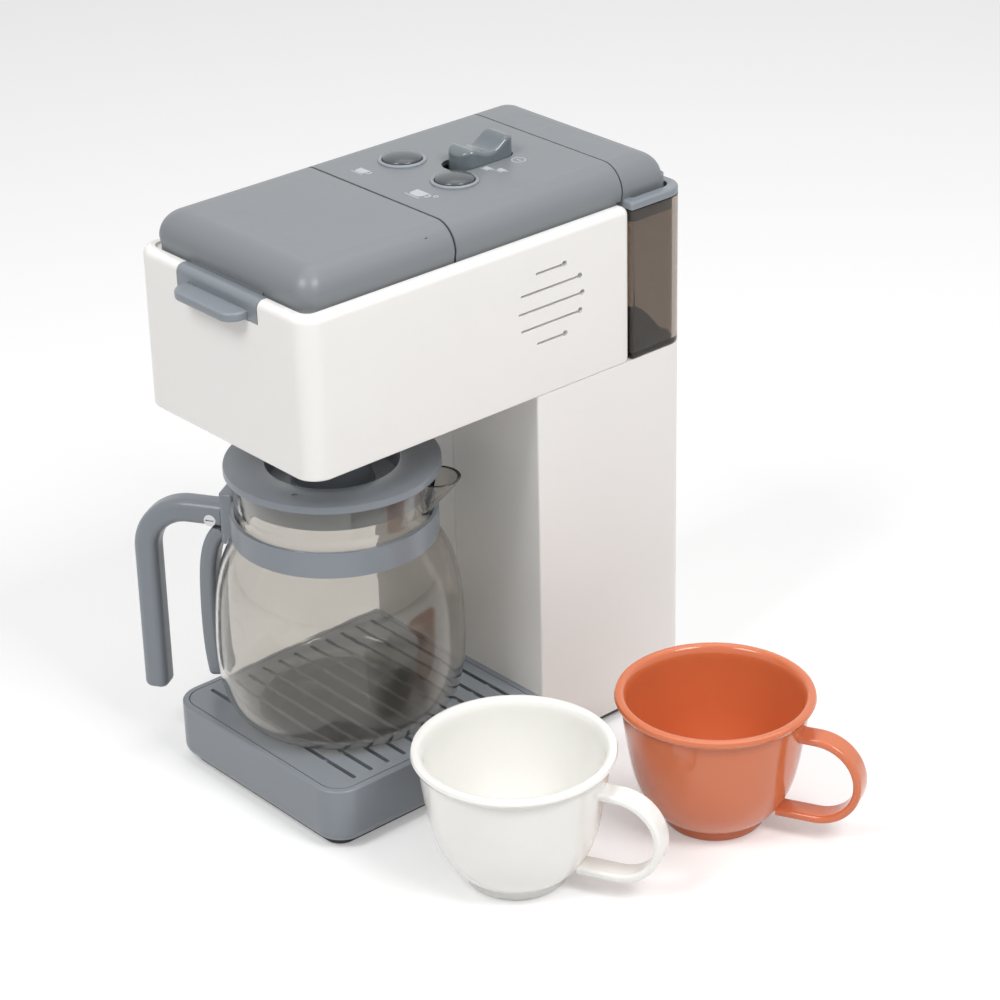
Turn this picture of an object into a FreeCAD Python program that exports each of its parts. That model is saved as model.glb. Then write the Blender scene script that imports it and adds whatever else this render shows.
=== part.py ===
"""Toy coffee maker with a glass-look jug, a lift-out water tank and two loose cups.

Millimetres. Z is up, the front faces -Y, the tank is at the back (+Y) and the
sound grille is on the +X side. The origin is the centre of the machine's
footprint, on the floor.
"""

import FreeCAD, Part
import math
import os

Vec = FreeCAD.Vector
UP = Vec(0, 0, 1)
ALONG_X = Vec(1, 0, 0)

# Machine envelope
BODY_WIDTH = 95.0
BODY_DEPTH = 175.0
HEAD_BOTTOM = 147.5
RIM_TOP = 207.0
CROWN_TOP = 220.3
COLUMN_FRONT = 14.0
COVER_SEAM = -18.0
COVER_SEAM_UPPER = -22.2
COVER_SEAM_STEP = 193.0
TANK_FRONT = 59.5
BODY_CORNER = 8.5
RIM_ROUND = 2.8
SHELL_WALL = 2.0
RIM_WIDTH = 4.3
LEDGE_WIDTH = 7.0
LEDGE_TOP = 206.0
LEDGE_DEPTH = 4.0
SEAM_BEVEL = 0.35

# Clearances
MOVING_GAP = 0.3
RUNNING_CLEARANCE = 0.05
SCREW_CLEARANCE = 0.05
SEAM_GAP = 0.6

# Crown: front lid, control deck and tank lid share one rounded form
CROWN_INSET = RIM_WIDTH + MOVING_GAP
CROWN_CORNER = 7.3
CROWN_ROUND = 9.5
CROWN_WALL = 1.8
COLLAR_TOP = 208.0

# Base
BASE_PAD = 2.5
BASE_FLANGE_TOP = 4.5
BASE_INSET = 4.0
FLANGE_INSET = 1.2

# Front lid hinge
HINGE_Y = -28.5
HINGE_Z = 217.0
HINGE_PIN_RADIUS = 0.9
HINGE_POST_INNER = 29.5
HINGE_POST_WIDTH = 3.0
HINGE_EAR_WIDTH = 2.5

# Lift tab in the notch of the front rim
NOTCH_HALF = 22.5
NOTCH_BOTTOM = 198.4
TAB_HALF = 17.2
TAB_REACH = 8.0
TAB_CORNER = 6.0
TAB_TOP = 202.2
TAB_BOTTOM = 198.9

# Drip tray and grate
TRAY_WIDTH = 97.6
TRAY_FRONT = -86.0
TRAY_TOP = 24.7
TRAY_CORNER = 11.0
TRAY_UNDER_ROUND = 4.6
TRAY_WALL = 2.4
TRAY_LEDGE = 5.0
GRATE_THICK = 2.3
GRATE_GAP = 0.35
SLOT_FIRST = -71.8
SLOT_PITCH = 7.75
SLOT_COUNT = 11
SLOT_HALF = 42.6
SLOT_WIDTH = 1.7

# Water tank
TANK_WALL = 2.0
TANK_GLASS_TOP = 204.8
COLLAR_UNDER = 205.2

# Controls
BUTTON_Y = 9.0
BUTTON_LEFT_X = -17.3
BUTTON_RIGHT_X = 11.3
BUTTON_RADIUS = 7.0
BUTTON_TRAVEL = 2.0
BEZEL_OUTER = 8.6
BEZEL_SLEEVE = 7.8
BEZEL_HEIGHT = 1.0
SLEEVE_BOTTOM = 215.7
KNOB_X = 0.4
KNOB_WIDTH = 12.8
KNOB_FRONT = 18.0
KNOB_REAR = 42.9
KNOB_TRAVEL = 3.0
SLOT_MARGIN = 0.35
BOARD_TOP = 204.6
BOARD_THICK = 1.6

# Grille on the right side
GRILLE_Y = 20.8
GRILLE_TOP_Z = 194.4
GRILLE_PITCH = 6.6
GRILLE_LENGTHS = (13.0, 27.4, 29.6, 27.4, 13.0)
GRILLE_SLOT = 0.9
GRILLE_BULB = 1.1

# Jug
JUG_X = -1.5
JUG_Y = -41.1
JUG_WALL = 1.6
HANDLE_ANGLE = 212.0
ARM_LEVEL = 98.4
ARM_DEPTH = 9.2
JUG_LID_RADIUS = 39.1
JUG_MOUTH = 122.6
JUG_OUTLINE = (
    (31.5, 24.7), (36.6, 26.0), (41.2, 30.2), (44.2, 38.0), (45.7, 50.0),
    (45.6, 62.0), (44.6, 74.0), (42.4, 84.0), (39.6, 90.6), (36.9, 95.2),
)
BAND_INNER = 36.1
BAND_OUTER = 37.6
BAND_BOTTOM = 96.7
BAND_TOP = 106.4
SPOUT_REACH = 47.6

# Cups
CUP_LEVELS = (
    (18.9, 3.6), (22.6, 6.8), (26.4, 12.5), (29.2, 20.0), (31.2, 30.0), (32.7, 40.0), (33.6, 48.2),
)
CUP_WALL = 2.0
CUP_LIP = 35.9
CUP_HEIGHT = 51.7
CUP_FOOT = 18.2
CUP_HANDLE_ANGLE = 26.0
CUP_STRAP_WIDTH = 9.0
CUP_STRAP_THICK = 3.0
WHITE_CUP = (98.6, -45.5)
TERRACOTTA_CUP = (119.8, 31.2)

# Filter basket and outlet
BASKET_Y = -56.0
BASKET_RADIUS = 24.0
BASKET_TOP = 190.0
BASKET_FLOOR = 153.0
SHELF_TOP = 188.0

# Power
CELL_RADIUS = 7.15
CELL_LENGTH = 50.5
CELL_Z = 12.8
CELL_SPACING = 20.0
BATTERY_Y = 51.0

HALF = BODY_WIDTH / 2
FRONT = -BODY_DEPTH / 2
REAR = BODY_DEPTH / 2


def rounded_wire(x0, x1, y0, y1, z, corners):
    """Closed rectangle whose corners run front-left, front-right, rear-right, rear-left."""
    centres = (
        (x0 + corners[0], y0 + corners[0], 180),
        (x1 - corners[1], y0 + corners[1], 270),
        (x1 - corners[2], y1 - corners[2], 0),
        (x0 + corners[3], y1 - corners[3], 90),
    )
    edges = []
    ends = []
    for (cx, cy, start), radius in zip(centres, corners):
        if radius > 0:
            arc = Part.makeCircle(radius, Vec(cx, cy, z), UP, start, start + 90)
            first = arc.valueAt(arc.FirstParameter)
            last = arc.valueAt(arc.LastParameter)
            ends.append((first, last, arc))
        else:
            ends.append((Vec(cx, cy, z), Vec(cx, cy, z), None))
    for index, (first, last, arc) in enumerate(ends):
        if arc is not None:
            edges.append(arc)
        following = ends[(index + 1) % 4][0]
        if last.distanceToPoint(following) > 1e-6:
            edges.append(Part.makeLine(last, following))
    return Part.Wire(edges)


def prism(x0, x1, y0, y1, z0, z1, corners=(0, 0, 0, 0)):
    """Upright block with its own radius at each vertical corner."""
    wire = rounded_wire(x0, x1, y0, y1, z0, corners)
    return Part.Face(wire).extrude(Vec(0, 0, z1 - z0))


def block(x0, x1, y0, y1, z0, z1):
    """Plain box between two opposite corners."""
    return Part.makeBox(x1 - x0, y1 - y0, z1 - z0, Vec(x0, y0, z0))


def rod(x, y, z, radius, length, direction=UP):
    """Cylinder that starts at a point and runs along a direction."""
    return Part.makeCylinder(radius, length, Vec(x, y, z), direction)


def spun(points, x=0.0, y=0.0):
    """Full turn of a closed (radius, height) polygon about an upright axis."""
    wire = Part.makePolygon([Vec(r, 0, z) for r, z in points] + [Vec(points[0][0], 0, points[0][1])])
    solid = Part.Face(wire).revolve(Vec(0, 0, 0), UP, 360)
    return solid.translated(Vec(x, y, 0))


def smooth_edge(points):
    """Curve through (radius, height) points in the XZ plane."""
    curve = Part.BSplineCurve()
    curve.interpolate([Vec(r, 0, z) for r, z in points])
    return curve.toShape()


def chain(points):
    """Straight edges that join (radius, height) points in the XZ plane."""
    vectors = [Vec(r, 0, z) for r, z in points]
    return [Part.makeLine(a, b) for a, b in zip(vectors, vectors[1:])]


def inward(points, distance):
    """Outline moved towards the axis, square to its own slope."""
    moved = []
    for index, (r, z) in enumerate(points):
        before = points[max(index - 1, 0)]
        after = points[min(index + 1, len(points) - 1)]
        run = after[0] - before[0]
        rise = after[1] - before[1]
        length = math.hypot(run, rise)
        moved.append((r - distance * rise / length, z + distance * run / length))
    return moved


def soften(shape, radius, wanted):
    """Round every edge whose centre and box pass the test."""
    edges = [edge for edge in shape.Edges if wanted(edge.CenterOfMass, edge.BoundBox)]
    return shape.makeFillet(radius, edges)


def placed(shape, x, y, angle):
    """Shape turned about the upright axis at the origin, then moved."""
    turned = shape.rotated(Vec(0, 0, 0), UP, angle)
    return turned.translated(Vec(x, y, 0))


def swept(path_edges, width, thick, corner):
    """Rounded strap along a path in the XZ plane that starts along +X."""
    start = path_edges[0].valueAt(path_edges[0].FirstParameter)
    flat = rounded_wire(-thick / 2, thick / 2, -width / 2, width / 2, 0, (corner,) * 4)
    upright = flat.rotated(Vec(0, 0, 0), Vec(0, 1, 0), 90).translated(start)
    path = Part.Wire(path_edges)
    return path.makePipeShell([upright], True, True)


def save(node, shape):
    """Write one node as its own STEP file."""
    cleaned = shape.removeSplitter()
    if cleaned.ShapeType == "Compound" and len(cleaned.Solids) == 1:
        cleaned = cleaned.Solids[0]
    cleaned.exportStep("parts/" + node + ".step")


# Body mouldings

def body_envelope(inset, z0, z1):
    """Full-length rounded outline of the machine, moved inwards by an inset."""
    radius = max(BODY_CORNER - inset, 0.5)
    return prism(-HALF + inset, HALF - inset, FRONT + inset, REAR - inset, z0, z1, (radius,) * 4)


def rounded_head():
    """Solid head with soft bottom edges and a rounded rim, tank bay included."""
    head = body_envelope(0, HEAD_BOTTOM, RIM_TOP)
    head = soften(head, RIM_ROUND, lambda c, b: b.ZLength < 0.01 and c.z > RIM_TOP - 0.1)
    return soften(head, 0.8, lambda c, b: b.ZLength < 0.01 and c.z < HEAD_BOTTOM + 0.1 and c.y < 80)


def rim_cavity():
    """Everything taken out of the head: room, seat for the crown and its shallow rebate."""
    room = body_envelope(SHELL_WALL, HEAD_BOTTOM + SHELL_WALL, LEDGE_TOP - LEDGE_DEPTH)
    throat = body_envelope(LEDGE_WIDTH, HEAD_BOTTOM + SHELL_WALL, RIM_TOP + 1)
    rebate = body_envelope(RIM_WIDTH, LEDGE_TOP, RIM_TOP + 1)
    return room.fuse([throat, rebate])


def front_cover():
    """White front of the head with the basket shelf, the notch and its hinge clearance."""
    cover = rounded_head().cut(rim_cavity())
    lower = block(-60, 60, FRONT - 1, COVER_SEAM, HEAD_BOTTOM - 1, COVER_SEAM_STEP)
    upper = block(-60, 60, FRONT - 1, COVER_SEAM_UPPER, COVER_SEAM_STEP, RIM_TOP + 1)
    cover = cover.common(lower.fuse(upper))
    swing = block(-HALF + RIM_WIDTH, HALF - RIM_WIDTH, -46, -10, SHELF_TOP + 2, RIM_TOP + 1)
    notch = block(-NOTCH_HALF, NOTCH_HALF, FRONT - 1, FRONT + 9, NOTCH_BOTTOM, RIM_TOP + 1)
    outlet = rod(JUG_X, JUG_Y, HEAD_BOTTOM - 1, 5.2, 5)
    cover = cover.cut([swing, notch, outlet])
    shelf = block(-HALF + SHELL_WALL, HALF - SHELL_WALL, FRONT + BODY_CORNER, -29.5, SHELF_TOP - 2, SHELF_TOP)
    shelf = shelf.cut(rod(0, BASKET_Y, SHELF_TOP - 3, BASKET_RADIUS + 0.6, 4))
    return cover.fuse(shelf)


def housing_solid():
    """Both housing halves as one moulding: column, tank shelf and rear of the head."""
    column = prism(-HALF, HALF, COLUMN_FRONT, REAR, BASE_FLANGE_TOP, HEAD_BOTTOM, (1, 1, BODY_CORNER, BODY_CORNER))
    head = rounded_head()
    lower = block(-60, 60, COVER_SEAM, TANK_FRONT, HEAD_BOTTOM - 1, RIM_TOP + 1)
    upper = block(-60, 60, COVER_SEAM_UPPER, COVER_SEAM, COVER_SEAM_STEP, RIM_TOP + 1)
    ears = upper.cut(block(-HALF + RIM_WIDTH, HALF - RIM_WIDTH, -30, 0, COVER_SEAM_STEP - 1, RIM_TOP + 2))
    rear_head = soften(head.common(lower), 3.5, lambda c, b: b.XLength > 60 and c.y > TANK_FRONT - 0.1 and c.z > 200)
    outer = column.fuse([rear_head, head.common(ears)])
    inner_corner = BODY_CORNER - SHELL_WALL
    room = prism(
        -HALF + SHELL_WALL, HALF - SHELL_WALL, COLUMN_FRONT + SHELL_WALL, REAR - SHELL_WALL,
        BASE_FLANGE_TOP - 1, HEAD_BOTTOM - SHELL_WALL, (0.5, 0.5, inner_corner, inner_corner),
    )
    back_wall = block(-60, 60, TANK_FRONT - SHELL_WALL, REAR + 1, HEAD_BOTTOM - SHELL_WALL, RIM_TOP + 2)
    attic = rim_cavity().cut(back_wall)
    stair = block(
        -HALF + SHELL_WALL, HALF - SHELL_WALL, COLUMN_FRONT + SHELL_WALL, TANK_FRONT - SHELL_WALL,
        HEAD_BOTTOM - SHELL_WALL - 1, HEAD_BOTTOM + SHELL_WALL + 1,
    )
    return outer.cut([room, attic, stair])


def grille_slots():
    """Five rounded slots with a round end, cut through the right wall."""
    cutters = []
    for index, length in enumerate(GRILLE_LENGTHS):
        z = GRILLE_TOP_Z - index * GRILLE_PITCH
        y0 = GRILLE_Y - length / 2
        y1 = GRILLE_Y + length / 2
        cutters.append(block(HALF - 3, HALF + 1, y0, y1, z - GRILLE_SLOT / 2, z + GRILLE_SLOT / 2))
        cutters.append(rod(HALF - 3, y1, z + 0.2, GRILLE_BULB, 4, ALONG_X))
        cutters.append(rod(HALF - 3, y0, z, GRILLE_SLOT / 2, 4, ALONG_X))
    return cutters


def screw_posts(side):
    """Bored posts that take the screws from under the base, tied to the side wall."""
    posts = []
    for y in (26.0, 77.0):
        posts.append(rod(side * 37.0, y, BASE_FLANGE_TOP, 3.4, 15))
        posts.append(block(min(side * 37, side * 45.7), max(side * 37, side * 45.7), y - 1, y + 1, BASE_FLANGE_TOP, 19.5))
    return posts


def screw_bores(side):
    """Blind bores of the screw posts."""
    return [rod(side * 37.0, y, BASE_FLANGE_TOP - 1, 1.5 + SCREW_CLEARANCE, 13) for y in (26.0, 77.0)]


def housing_half(side):
    """Left (-1) or right (+1) half, bevelled along the joint so that it shows as a fine line."""
    keep = block(0, 60, -120, 120, 0, 230) if side > 0 else block(-60, 0, -120, 120, 0, 230)
    half = housing_solid().common(keep)
    half = half.fuse(screw_posts(side)).cut(screw_bores(side))
    wedge = Part.makePolygon([
        Vec(-SEAM_BEVEL, COLUMN_FRONT - 0.01, 0), Vec(SEAM_BEVEL, COLUMN_FRONT - 0.01, 0),
        Vec(0, COLUMN_FRONT + SEAM_BEVEL, 0), Vec(-SEAM_BEVEL, COLUMN_FRONT - 0.01, 0),
    ])
    groove = Part.Face(wedge).extrude(Vec(0, 0, HEAD_BOTTOM))
    half = half.cut([groove, groove.mirror(Vec(0, (COLUMN_FRONT + REAR) / 2, 0), Vec(0, 1, 0))])
    if side > 0:
        half = half.cut(grille_slots())
    return half


def base_plate():
    """Dark plinth: recessed pad on the floor, flange under the walls, battery opening."""
    pad = prism(-HALF + BASE_INSET, HALF - BASE_INSET, FRONT + 6, REAR - BASE_INSET, 0, BASE_PAD, (6, 6, 5, 5))
    flange = prism(
        -HALF + FLANGE_INSET, HALF - FLANGE_INSET, COLUMN_FRONT + FLANGE_INSET, REAR - FLANGE_INSET,
        BASE_PAD, BASE_FLANGE_TOP, (1, 1, BODY_CORNER - FLANGE_INSET, BODY_CORNER - FLANGE_INSET),
    )
    plate = pad.fuse(flange)
    door_hole = block(-27, 27, BATTERY_Y - 16, BATTERY_Y + 16, -1, 3.3)
    cell_hole = block(-25.6, 25.6, BATTERY_Y - 14.5, BATTERY_Y + 14.5, 3, 6)
    cutters = [door_hole, cell_hole]
    for side in (-1, 1):
        for y in (26.0, 77.0):
            cutters.append(rod(side * 37.0, y, -1, 1.5 + 0.15, 7))
            cutters.append(rod(side * 37.0, y, -1, 3.3, 3.6))
    return plate.cut(cutters)


def housing_screw(x, y):
    """Pan-head screw with a cross recess, driven up through the base."""
    head = rod(x, y, 0.9, 3.0, 1.7)
    head = soften(head, 0.6, lambda c, b: c.z < 1.0 and b.ZLength < 0.01)
    shank = rod(x, y, 2.6, 1.5, 13)
    cross = block(x - 1.8, x + 1.8, y - 0.35, y + 0.35, 0.5, 1.8)
    cross = cross.fuse(block(x - 0.35, x + 0.35, y - 1.8, y + 1.8, 0.5, 1.8))
    return head.fuse(shank).cut(cross)


def tray_space(inset, z0, z1):
    """Room inside the tray at a given distance from its outer faces."""
    half = TRAY_WIDTH / 2 - inset
    radius = TRAY_CORNER - inset
    return prism(-half, half, TRAY_FRONT + inset, COLUMN_FRONT - inset, z0, z1, (radius, radius, 1.5, 1.5))


def drip_tray():
    """Deep tray with a rounded under-edge and a ledge that carries the grate."""
    half = TRAY_WIDTH / 2
    tray = prism(-half, half, TRAY_FRONT, COLUMN_FRONT, BASE_PAD, TRAY_TOP, (TRAY_CORNER, TRAY_CORNER, 0, 0))
    under = BASE_PAD + 0.1
    behind = COLUMN_FRONT - 0.1
    tray = soften(tray, TRAY_UNDER_ROUND, lambda c, b: b.ZLength < 0.01 and c.z < under and c.y < behind)
    tray = soften(tray, 0.7, lambda c, b: b.ZLength < 0.01 and c.z > TRAY_TOP - 0.1 and c.y < behind)
    low = tray_space(TRAY_WALL, BASE_PAD + 2.4, TRAY_TOP - GRATE_THICK - 2)
    neck = tray_space(TRAY_LEDGE, BASE_PAD + 2.4, TRAY_TOP)
    seat = tray_space(TRAY_WALL, TRAY_TOP - GRATE_THICK, TRAY_TOP + 1)
    return tray.cut(low.fuse([neck, seat]))


def drip_grate():
    """Slotted plate, flush with the tray rim, stiffened by ribs below."""
    plate = tray_space(TRAY_WALL + GRATE_GAP, TRAY_TOP - GRATE_THICK, TRAY_TOP)
    ribs = [block(x - 0.8, x + 0.8, TRAY_FRONT + 6, COLUMN_FRONT - 6, TRAY_TOP - GRATE_THICK - 1.6, TRAY_TOP - 1)
            for x in (-25.0, 0.0, 25.0)]
    cutters = []
    for index in range(SLOT_COUNT):
        y = SLOT_FIRST + index * SLOT_PITCH
        z0 = TRAY_TOP - GRATE_THICK - 0.1
        cutters.append(prism(
            -SLOT_HALF, SLOT_HALF, y - SLOT_WIDTH / 2, y + SLOT_WIDTH / 2, z0, TRAY_TOP + 1, (SLOT_WIDTH / 2 - 0.01,) * 4,
        ))
    return plate.cut(cutters).fuse(ribs)


# Crown: lid, deck and tank lid

def crown_form(inset, top):
    """Lofted pillow: upright sides that turn into a flat top through a quarter round."""
    sections = []
    round_radius = CROWN_ROUND - inset
    spring_line = top - round_radius
    levels = [(0.0, 190.0), (0.0, spring_line - 6)]
    for step in range(7):
        angle = math.radians(90 * step / 6)
        levels.append((round_radius * (1 - math.cos(angle)), spring_line + round_radius * math.sin(angle)))
    for retreat, z in levels:
        side = CROWN_INSET + inset + retreat
        corner = max(CROWN_CORNER - inset * 0.8 - retreat * 0.62, 1.2)
        sections.append(rounded_wire(
            -HALF + side, HALF - side, FRONT + side, REAR - side, z, (corner,) * 4,
        ))
    lower = Part.makeLoft(sections[:2], True, True)
    upper = Part.makeLoft(sections[1:], True, False)
    return lower.fuse(upper)


def crown_part(y0, y1, bottom):
    """Slice of the hollow crown between two seams."""
    shell = crown_form(0, CROWN_TOP).cut(crown_form(CROWN_WALL, CROWN_TOP - CROWN_WALL))
    return shell.common(block(-60, 60, y0, y1, bottom, CROWN_TOP + 2))


LID_REAR = COVER_SEAM - MOVING_GAP
DECK_FRONT = LID_REAR + SEAM_GAP
DECK_REAR = TANK_FRONT - MOVING_GAP
TANK_LID_FRONT = TANK_FRONT + MOVING_GAP
SKIN_UNDER = CROWN_TOP - CROWN_WALL
CROWN_FACE = FRONT + CROWN_INSET


def front_lid():
    """Hinged lid with two pin ears under the skin and a tongue behind the lift tab."""
    lid = crown_part(-100, LID_REAR, LEDGE_TOP)
    tongue = block(-20, 20, CROWN_FACE, CROWN_FACE + CROWN_WALL, NOTCH_BOTTOM + 0.8, LEDGE_TOP + 2)
    ears = []
    for side in (-1, 1):
        inner = HINGE_POST_INNER + HINGE_POST_WIDTH + MOVING_GAP
        x0 = side * inner if side > 0 else side * inner - HINGE_EAR_WIDTH
        ear = rod(x0, HINGE_Y, HINGE_Z, 2.6, HINGE_EAR_WIDTH, ALONG_X)
        root = block(x0, x0 + HINGE_EAR_WIDTH, HINGE_Y - 3.5, HINGE_Y + 3.5, HINGE_Z, SKIN_UNDER + 0.2)
        ears.append(ear.common(block(x0, x0 + 5, -60, 0, 200, SKIN_UNDER + 0.2)).fuse(root))
    lid = lid.fuse([tongue] + ears)
    lid = soften(lid, 0.5, lambda c, b: b.XLength > 55 and c.y > LID_REAR - 0.05 and c.z > CROWN_TOP - 0.05)
    bores = [rod(-40, HINGE_Y, HINGE_Z, HINGE_PIN_RADIUS, 80, ALONG_X)]
    return lid.cut(bores)


def lid_hinge_bracket():
    """Cross bar inside the cover with two posts that hold the lid's pins."""
    bar = block(-HALF + SHELL_WALL, HALF - SHELL_WALL, -31, -26, 194, 199)
    posts = []
    for side in (-1, 1):
        x0 = side * HINGE_POST_INNER if side > 0 else side * HINGE_POST_INNER - HINGE_POST_WIDTH
        posts.append(block(x0, x0 + HINGE_POST_WIDTH, HINGE_Y - 1.5, HINGE_Y + 1.5, 198, HINGE_Z))
        posts.append(rod(x0, HINGE_Y, HINGE_Z, 1.5, HINGE_POST_WIDTH, ALONG_X))
    bracket = bar.fuse(posts)
    hole = HINGE_PIN_RADIUS + RUNNING_CLEARANCE
    return bracket.cut(rod(-40, HINGE_Y, HINGE_Z, hole, 80, ALONG_X))


def lid_hinge_pin(side):
    """Short steel pin through a post and the lid's ear."""
    inner = HINGE_POST_INNER - 0.8
    outer = HINGE_POST_INNER + HINGE_POST_WIDTH + MOVING_GAP + HINGE_EAR_WIDTH
    x0 = inner if side > 0 else -outer
    return rod(x0, HINGE_Y, HINGE_Z, HINGE_PIN_RADIUS, outer - inner, ALONG_X)


def lid_lift_tab():
    """Plate that fills the notch and carries a rounded finger shelf."""
    gap = MOVING_GAP
    plate = block(-NOTCH_HALF + gap, NOTCH_HALF - gap, FRONT, CROWN_FACE, NOTCH_BOTTOM + gap, RIM_TOP)
    plate = soften(plate, RIM_ROUND, lambda c, b: b.XLength > 30 and c.z > RIM_TOP - 0.1 and c.y < FRONT + 0.1)
    shelf = prism(
        -TAB_HALF, TAB_HALF, FRONT - TAB_REACH, FRONT + 1, TAB_BOTTOM, TAB_TOP, (TAB_CORNER, TAB_CORNER, 0, 0),
    )
    shelf = soften(shelf, 0.9, lambda c, b: b.ZLength < 0.01 and c.y < FRONT + 0.9)
    return plate.fuse(shelf)


def knob_slot(margin, z0, z1, travel):
    """Oblong prism around the knob's plan form."""
    half = KNOB_WIDTH / 2 + margin
    front = KNOB_FRONT - travel - margin
    return prism(KNOB_X - half, KNOB_X + half, front, KNOB_REAR + margin, z0, z1, (half - 0.6,) * 4)


def control_deck():
    """Fixed middle of the crown with openings for the controls and posts for the board."""
    deck = crown_part(DECK_FRONT, DECK_REAR, LEDGE_TOP)
    webs = []
    half = HALF - CROWN_INSET - 1
    for y in (DECK_FRONT, DECK_REAR - CROWN_WALL):
        web = crown_form(0.9, CROWN_TOP - 0.9).common(block(-half, half, y, y + CROWN_WALL, LEDGE_TOP, CROWN_TOP))
        webs.append(web)
    posts = [rod(x, y, BOARD_TOP, 2.0, SKIN_UNDER + 0.5 - BOARD_TOP) for x in (-25.5, 21.5) for y in (-3.0, 47.0)]
    cutters = [knob_slot(SLOT_MARGIN, SKIN_UNDER - 1, CROWN_TOP + 1, KNOB_TRAVEL)]
    for x in (BUTTON_LEFT_X, BUTTON_RIGHT_X):
        cutters.append(rod(x, BUTTON_Y, SKIN_UNDER - 1, BEZEL_SLEEVE + SCREW_CLEARANCE, 5))
    step = block(-HALF, HALF, TANK_FRONT - SHELL_WALL - SEAM_GAP, TANK_FRONT, LEDGE_TOP - 1, RIM_TOP + SEAM_GAP)
    return deck.fuse(webs).fuse(posts).cut(cutters + [step])


def button_bezel(x):
    """Raised ring with a guide sleeve through the deck."""
    bore = BUTTON_RADIUS + MOVING_GAP
    top = CROWN_TOP + BEZEL_HEIGHT
    return spun([
        (bore, SLEEVE_BOTTOM), (BEZEL_SLEEVE, SLEEVE_BOTTOM), (BEZEL_SLEEVE, CROWN_TOP),
        (BEZEL_OUTER, CROWN_TOP), (BEZEL_OUTER, top - 0.5), (BEZEL_OUTER - 0.4, top - 0.1),
        (bore + 0.5, top), (bore, top - 0.4),
    ], x, BUTTON_Y)


def button_cap(x):
    """Domed push button with a retaining flange and a stem over its switch."""
    flange_top = SLEEVE_BOTTOM - MOVING_GAP
    crest = CROWN_TOP + 2.6
    dome = [(BUTTON_RADIUS * math.sin(math.radians(a)), crest - 1.6 * (1 - math.cos(math.radians(a))))
            for a in (90, 75, 60, 45, 30, 15)]
    outline = [(0, 211.2), (1.8, 211.2), (1.8, flange_top - 1.2), (BEZEL_SLEEVE, flange_top - 1.2),
               (BEZEL_SLEEVE, flange_top), (BUTTON_RADIUS, flange_top)] + dome + [(0, crest)]
    return spun(outline, x, BUTTON_Y)


def button_spring(x):
    """Coil spring between the circuit board and the button's flange."""
    wire_radius = 0.45
    height = SLEEVE_BOTTOM - MOVING_GAP - 1.2 - BOARD_TOP - 2 * wire_radius
    helix = Part.makeLongHelix(height / 4, height, 5.0)
    corners = [Vec(5.0 + wire_radius * math.cos(math.radians(a)), 0, wire_radius * math.sin(math.radians(a))) for a in range(0, 361, 30)]
    coil = Part.Wire(helix.Edges).makePipeShell([Part.makePolygon(corners)], True, True)
    return coil.translated(Vec(x, BUTTON_Y, BOARD_TOP + wire_radius))


def switch_knob():
    """Saddle-backed slide knob: side wave, rounded plan and a retaining foot."""
    base = SKIN_UNDER - 1.5
    y0 = KNOB_FRONT - 2
    y1 = KNOB_REAR + 2
    crest = KNOB_REAR - 4.3
    heights = (
        (y0, 222.0), (KNOB_FRONT + 1.0, 225.6), (KNOB_FRONT + 3.8, 226.6), (KNOB_FRONT + 8.0, 225.2),
        (KNOB_FRONT + 12.4, 224.3), (crest - 4.0, 226.0), (crest, 228.0), (KNOB_REAR - 1.2, 227.0), (y1, 223.0),
    )
    wave = Part.BSplineCurve()
    wave.interpolate([Vec(0, y, z) for y, z in heights])
    corners = [Vec(0, y1, 223.0), Vec(0, y1, base), Vec(0, y0, base), Vec(0, y0, 222.0)]
    edges = [wave.toShape()] + [Part.makeLine(a, b) for a, b in zip(corners, corners[1:])]
    side = Part.Face(Part.Wire(edges)).extrude(Vec(30, 0, 0)).translated(Vec(KNOB_X - 15, 0, 0))
    knob = side.common(knob_slot(0, base - 1, 235, 0))
    knob = soften(knob, 1.6, lambda c, b: c.z > 222.5 and max(b.XLength, b.YLength) > 0.01)
    foot = block(KNOB_X - 8.2, KNOB_X + 8.2, 21.5, 46, SKIN_UNDER - 2.0, SKIN_UNDER - 0.2)
    stem = block(KNOB_X - 2, KNOB_X + 2, 30, 35, 211, SKIN_UNDER - 1)
    return knob.fuse([foot, stem])


def circuit_board():
    """Board with rounded corners, held under the deck posts."""
    z0 = BOARD_TOP - BOARD_THICK
    board = prism(-29, 25, -6.5, 50.5, z0, BOARD_TOP, (2, 2, 2, 2))
    return board


def switch_body(x):
    """Tactile switch under a button."""
    case = block(x - 3, x + 3, BUTTON_Y - 3, BUTTON_Y + 3, BOARD_TOP, BOARD_TOP + 3.4)
    return case.fuse(rod(x, BUTTON_Y, BOARD_TOP + 3.4, 1.5, 0.9))


def slide_switch():
    """Slide switch under the knob, with a short lever."""
    case = block(KNOB_X - 3.5, KNOB_X + 3.5, 26, 39, BOARD_TOP, BOARD_TOP + 4.6)
    return case.fuse(block(KNOB_X - 1, KNOB_X + 1, 31.5, 33.5, BOARD_TOP + 4.6, BOARD_TOP + 5.8))


# Tank

def tank_outline(inset, z0, z1, front=None):
    """Plan form of the tank bay, moved inwards by an inset."""
    front_y = TANK_FRONT + MOVING_GAP + inset if front is None else front
    radius = BODY_CORNER - inset
    return prism(-HALF + inset, HALF - inset, front_y, REAR - inset, z0, z1, (1, 1, radius, radius))


def water_tank():
    """Clear tank with a softened floor edge."""
    body = tank_outline(0, HEAD_BOTTOM, TANK_GLASS_TOP)
    body = soften(body, 0.8, lambda c, b: b.ZLength < 0.01 and c.z < HEAD_BOTTOM + 0.1 and c.y > TANK_FRONT + 1)
    return body.cut(tank_outline(TANK_WALL, HEAD_BOTTOM + TANK_WALL, TANK_GLASS_TOP + 1))


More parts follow.
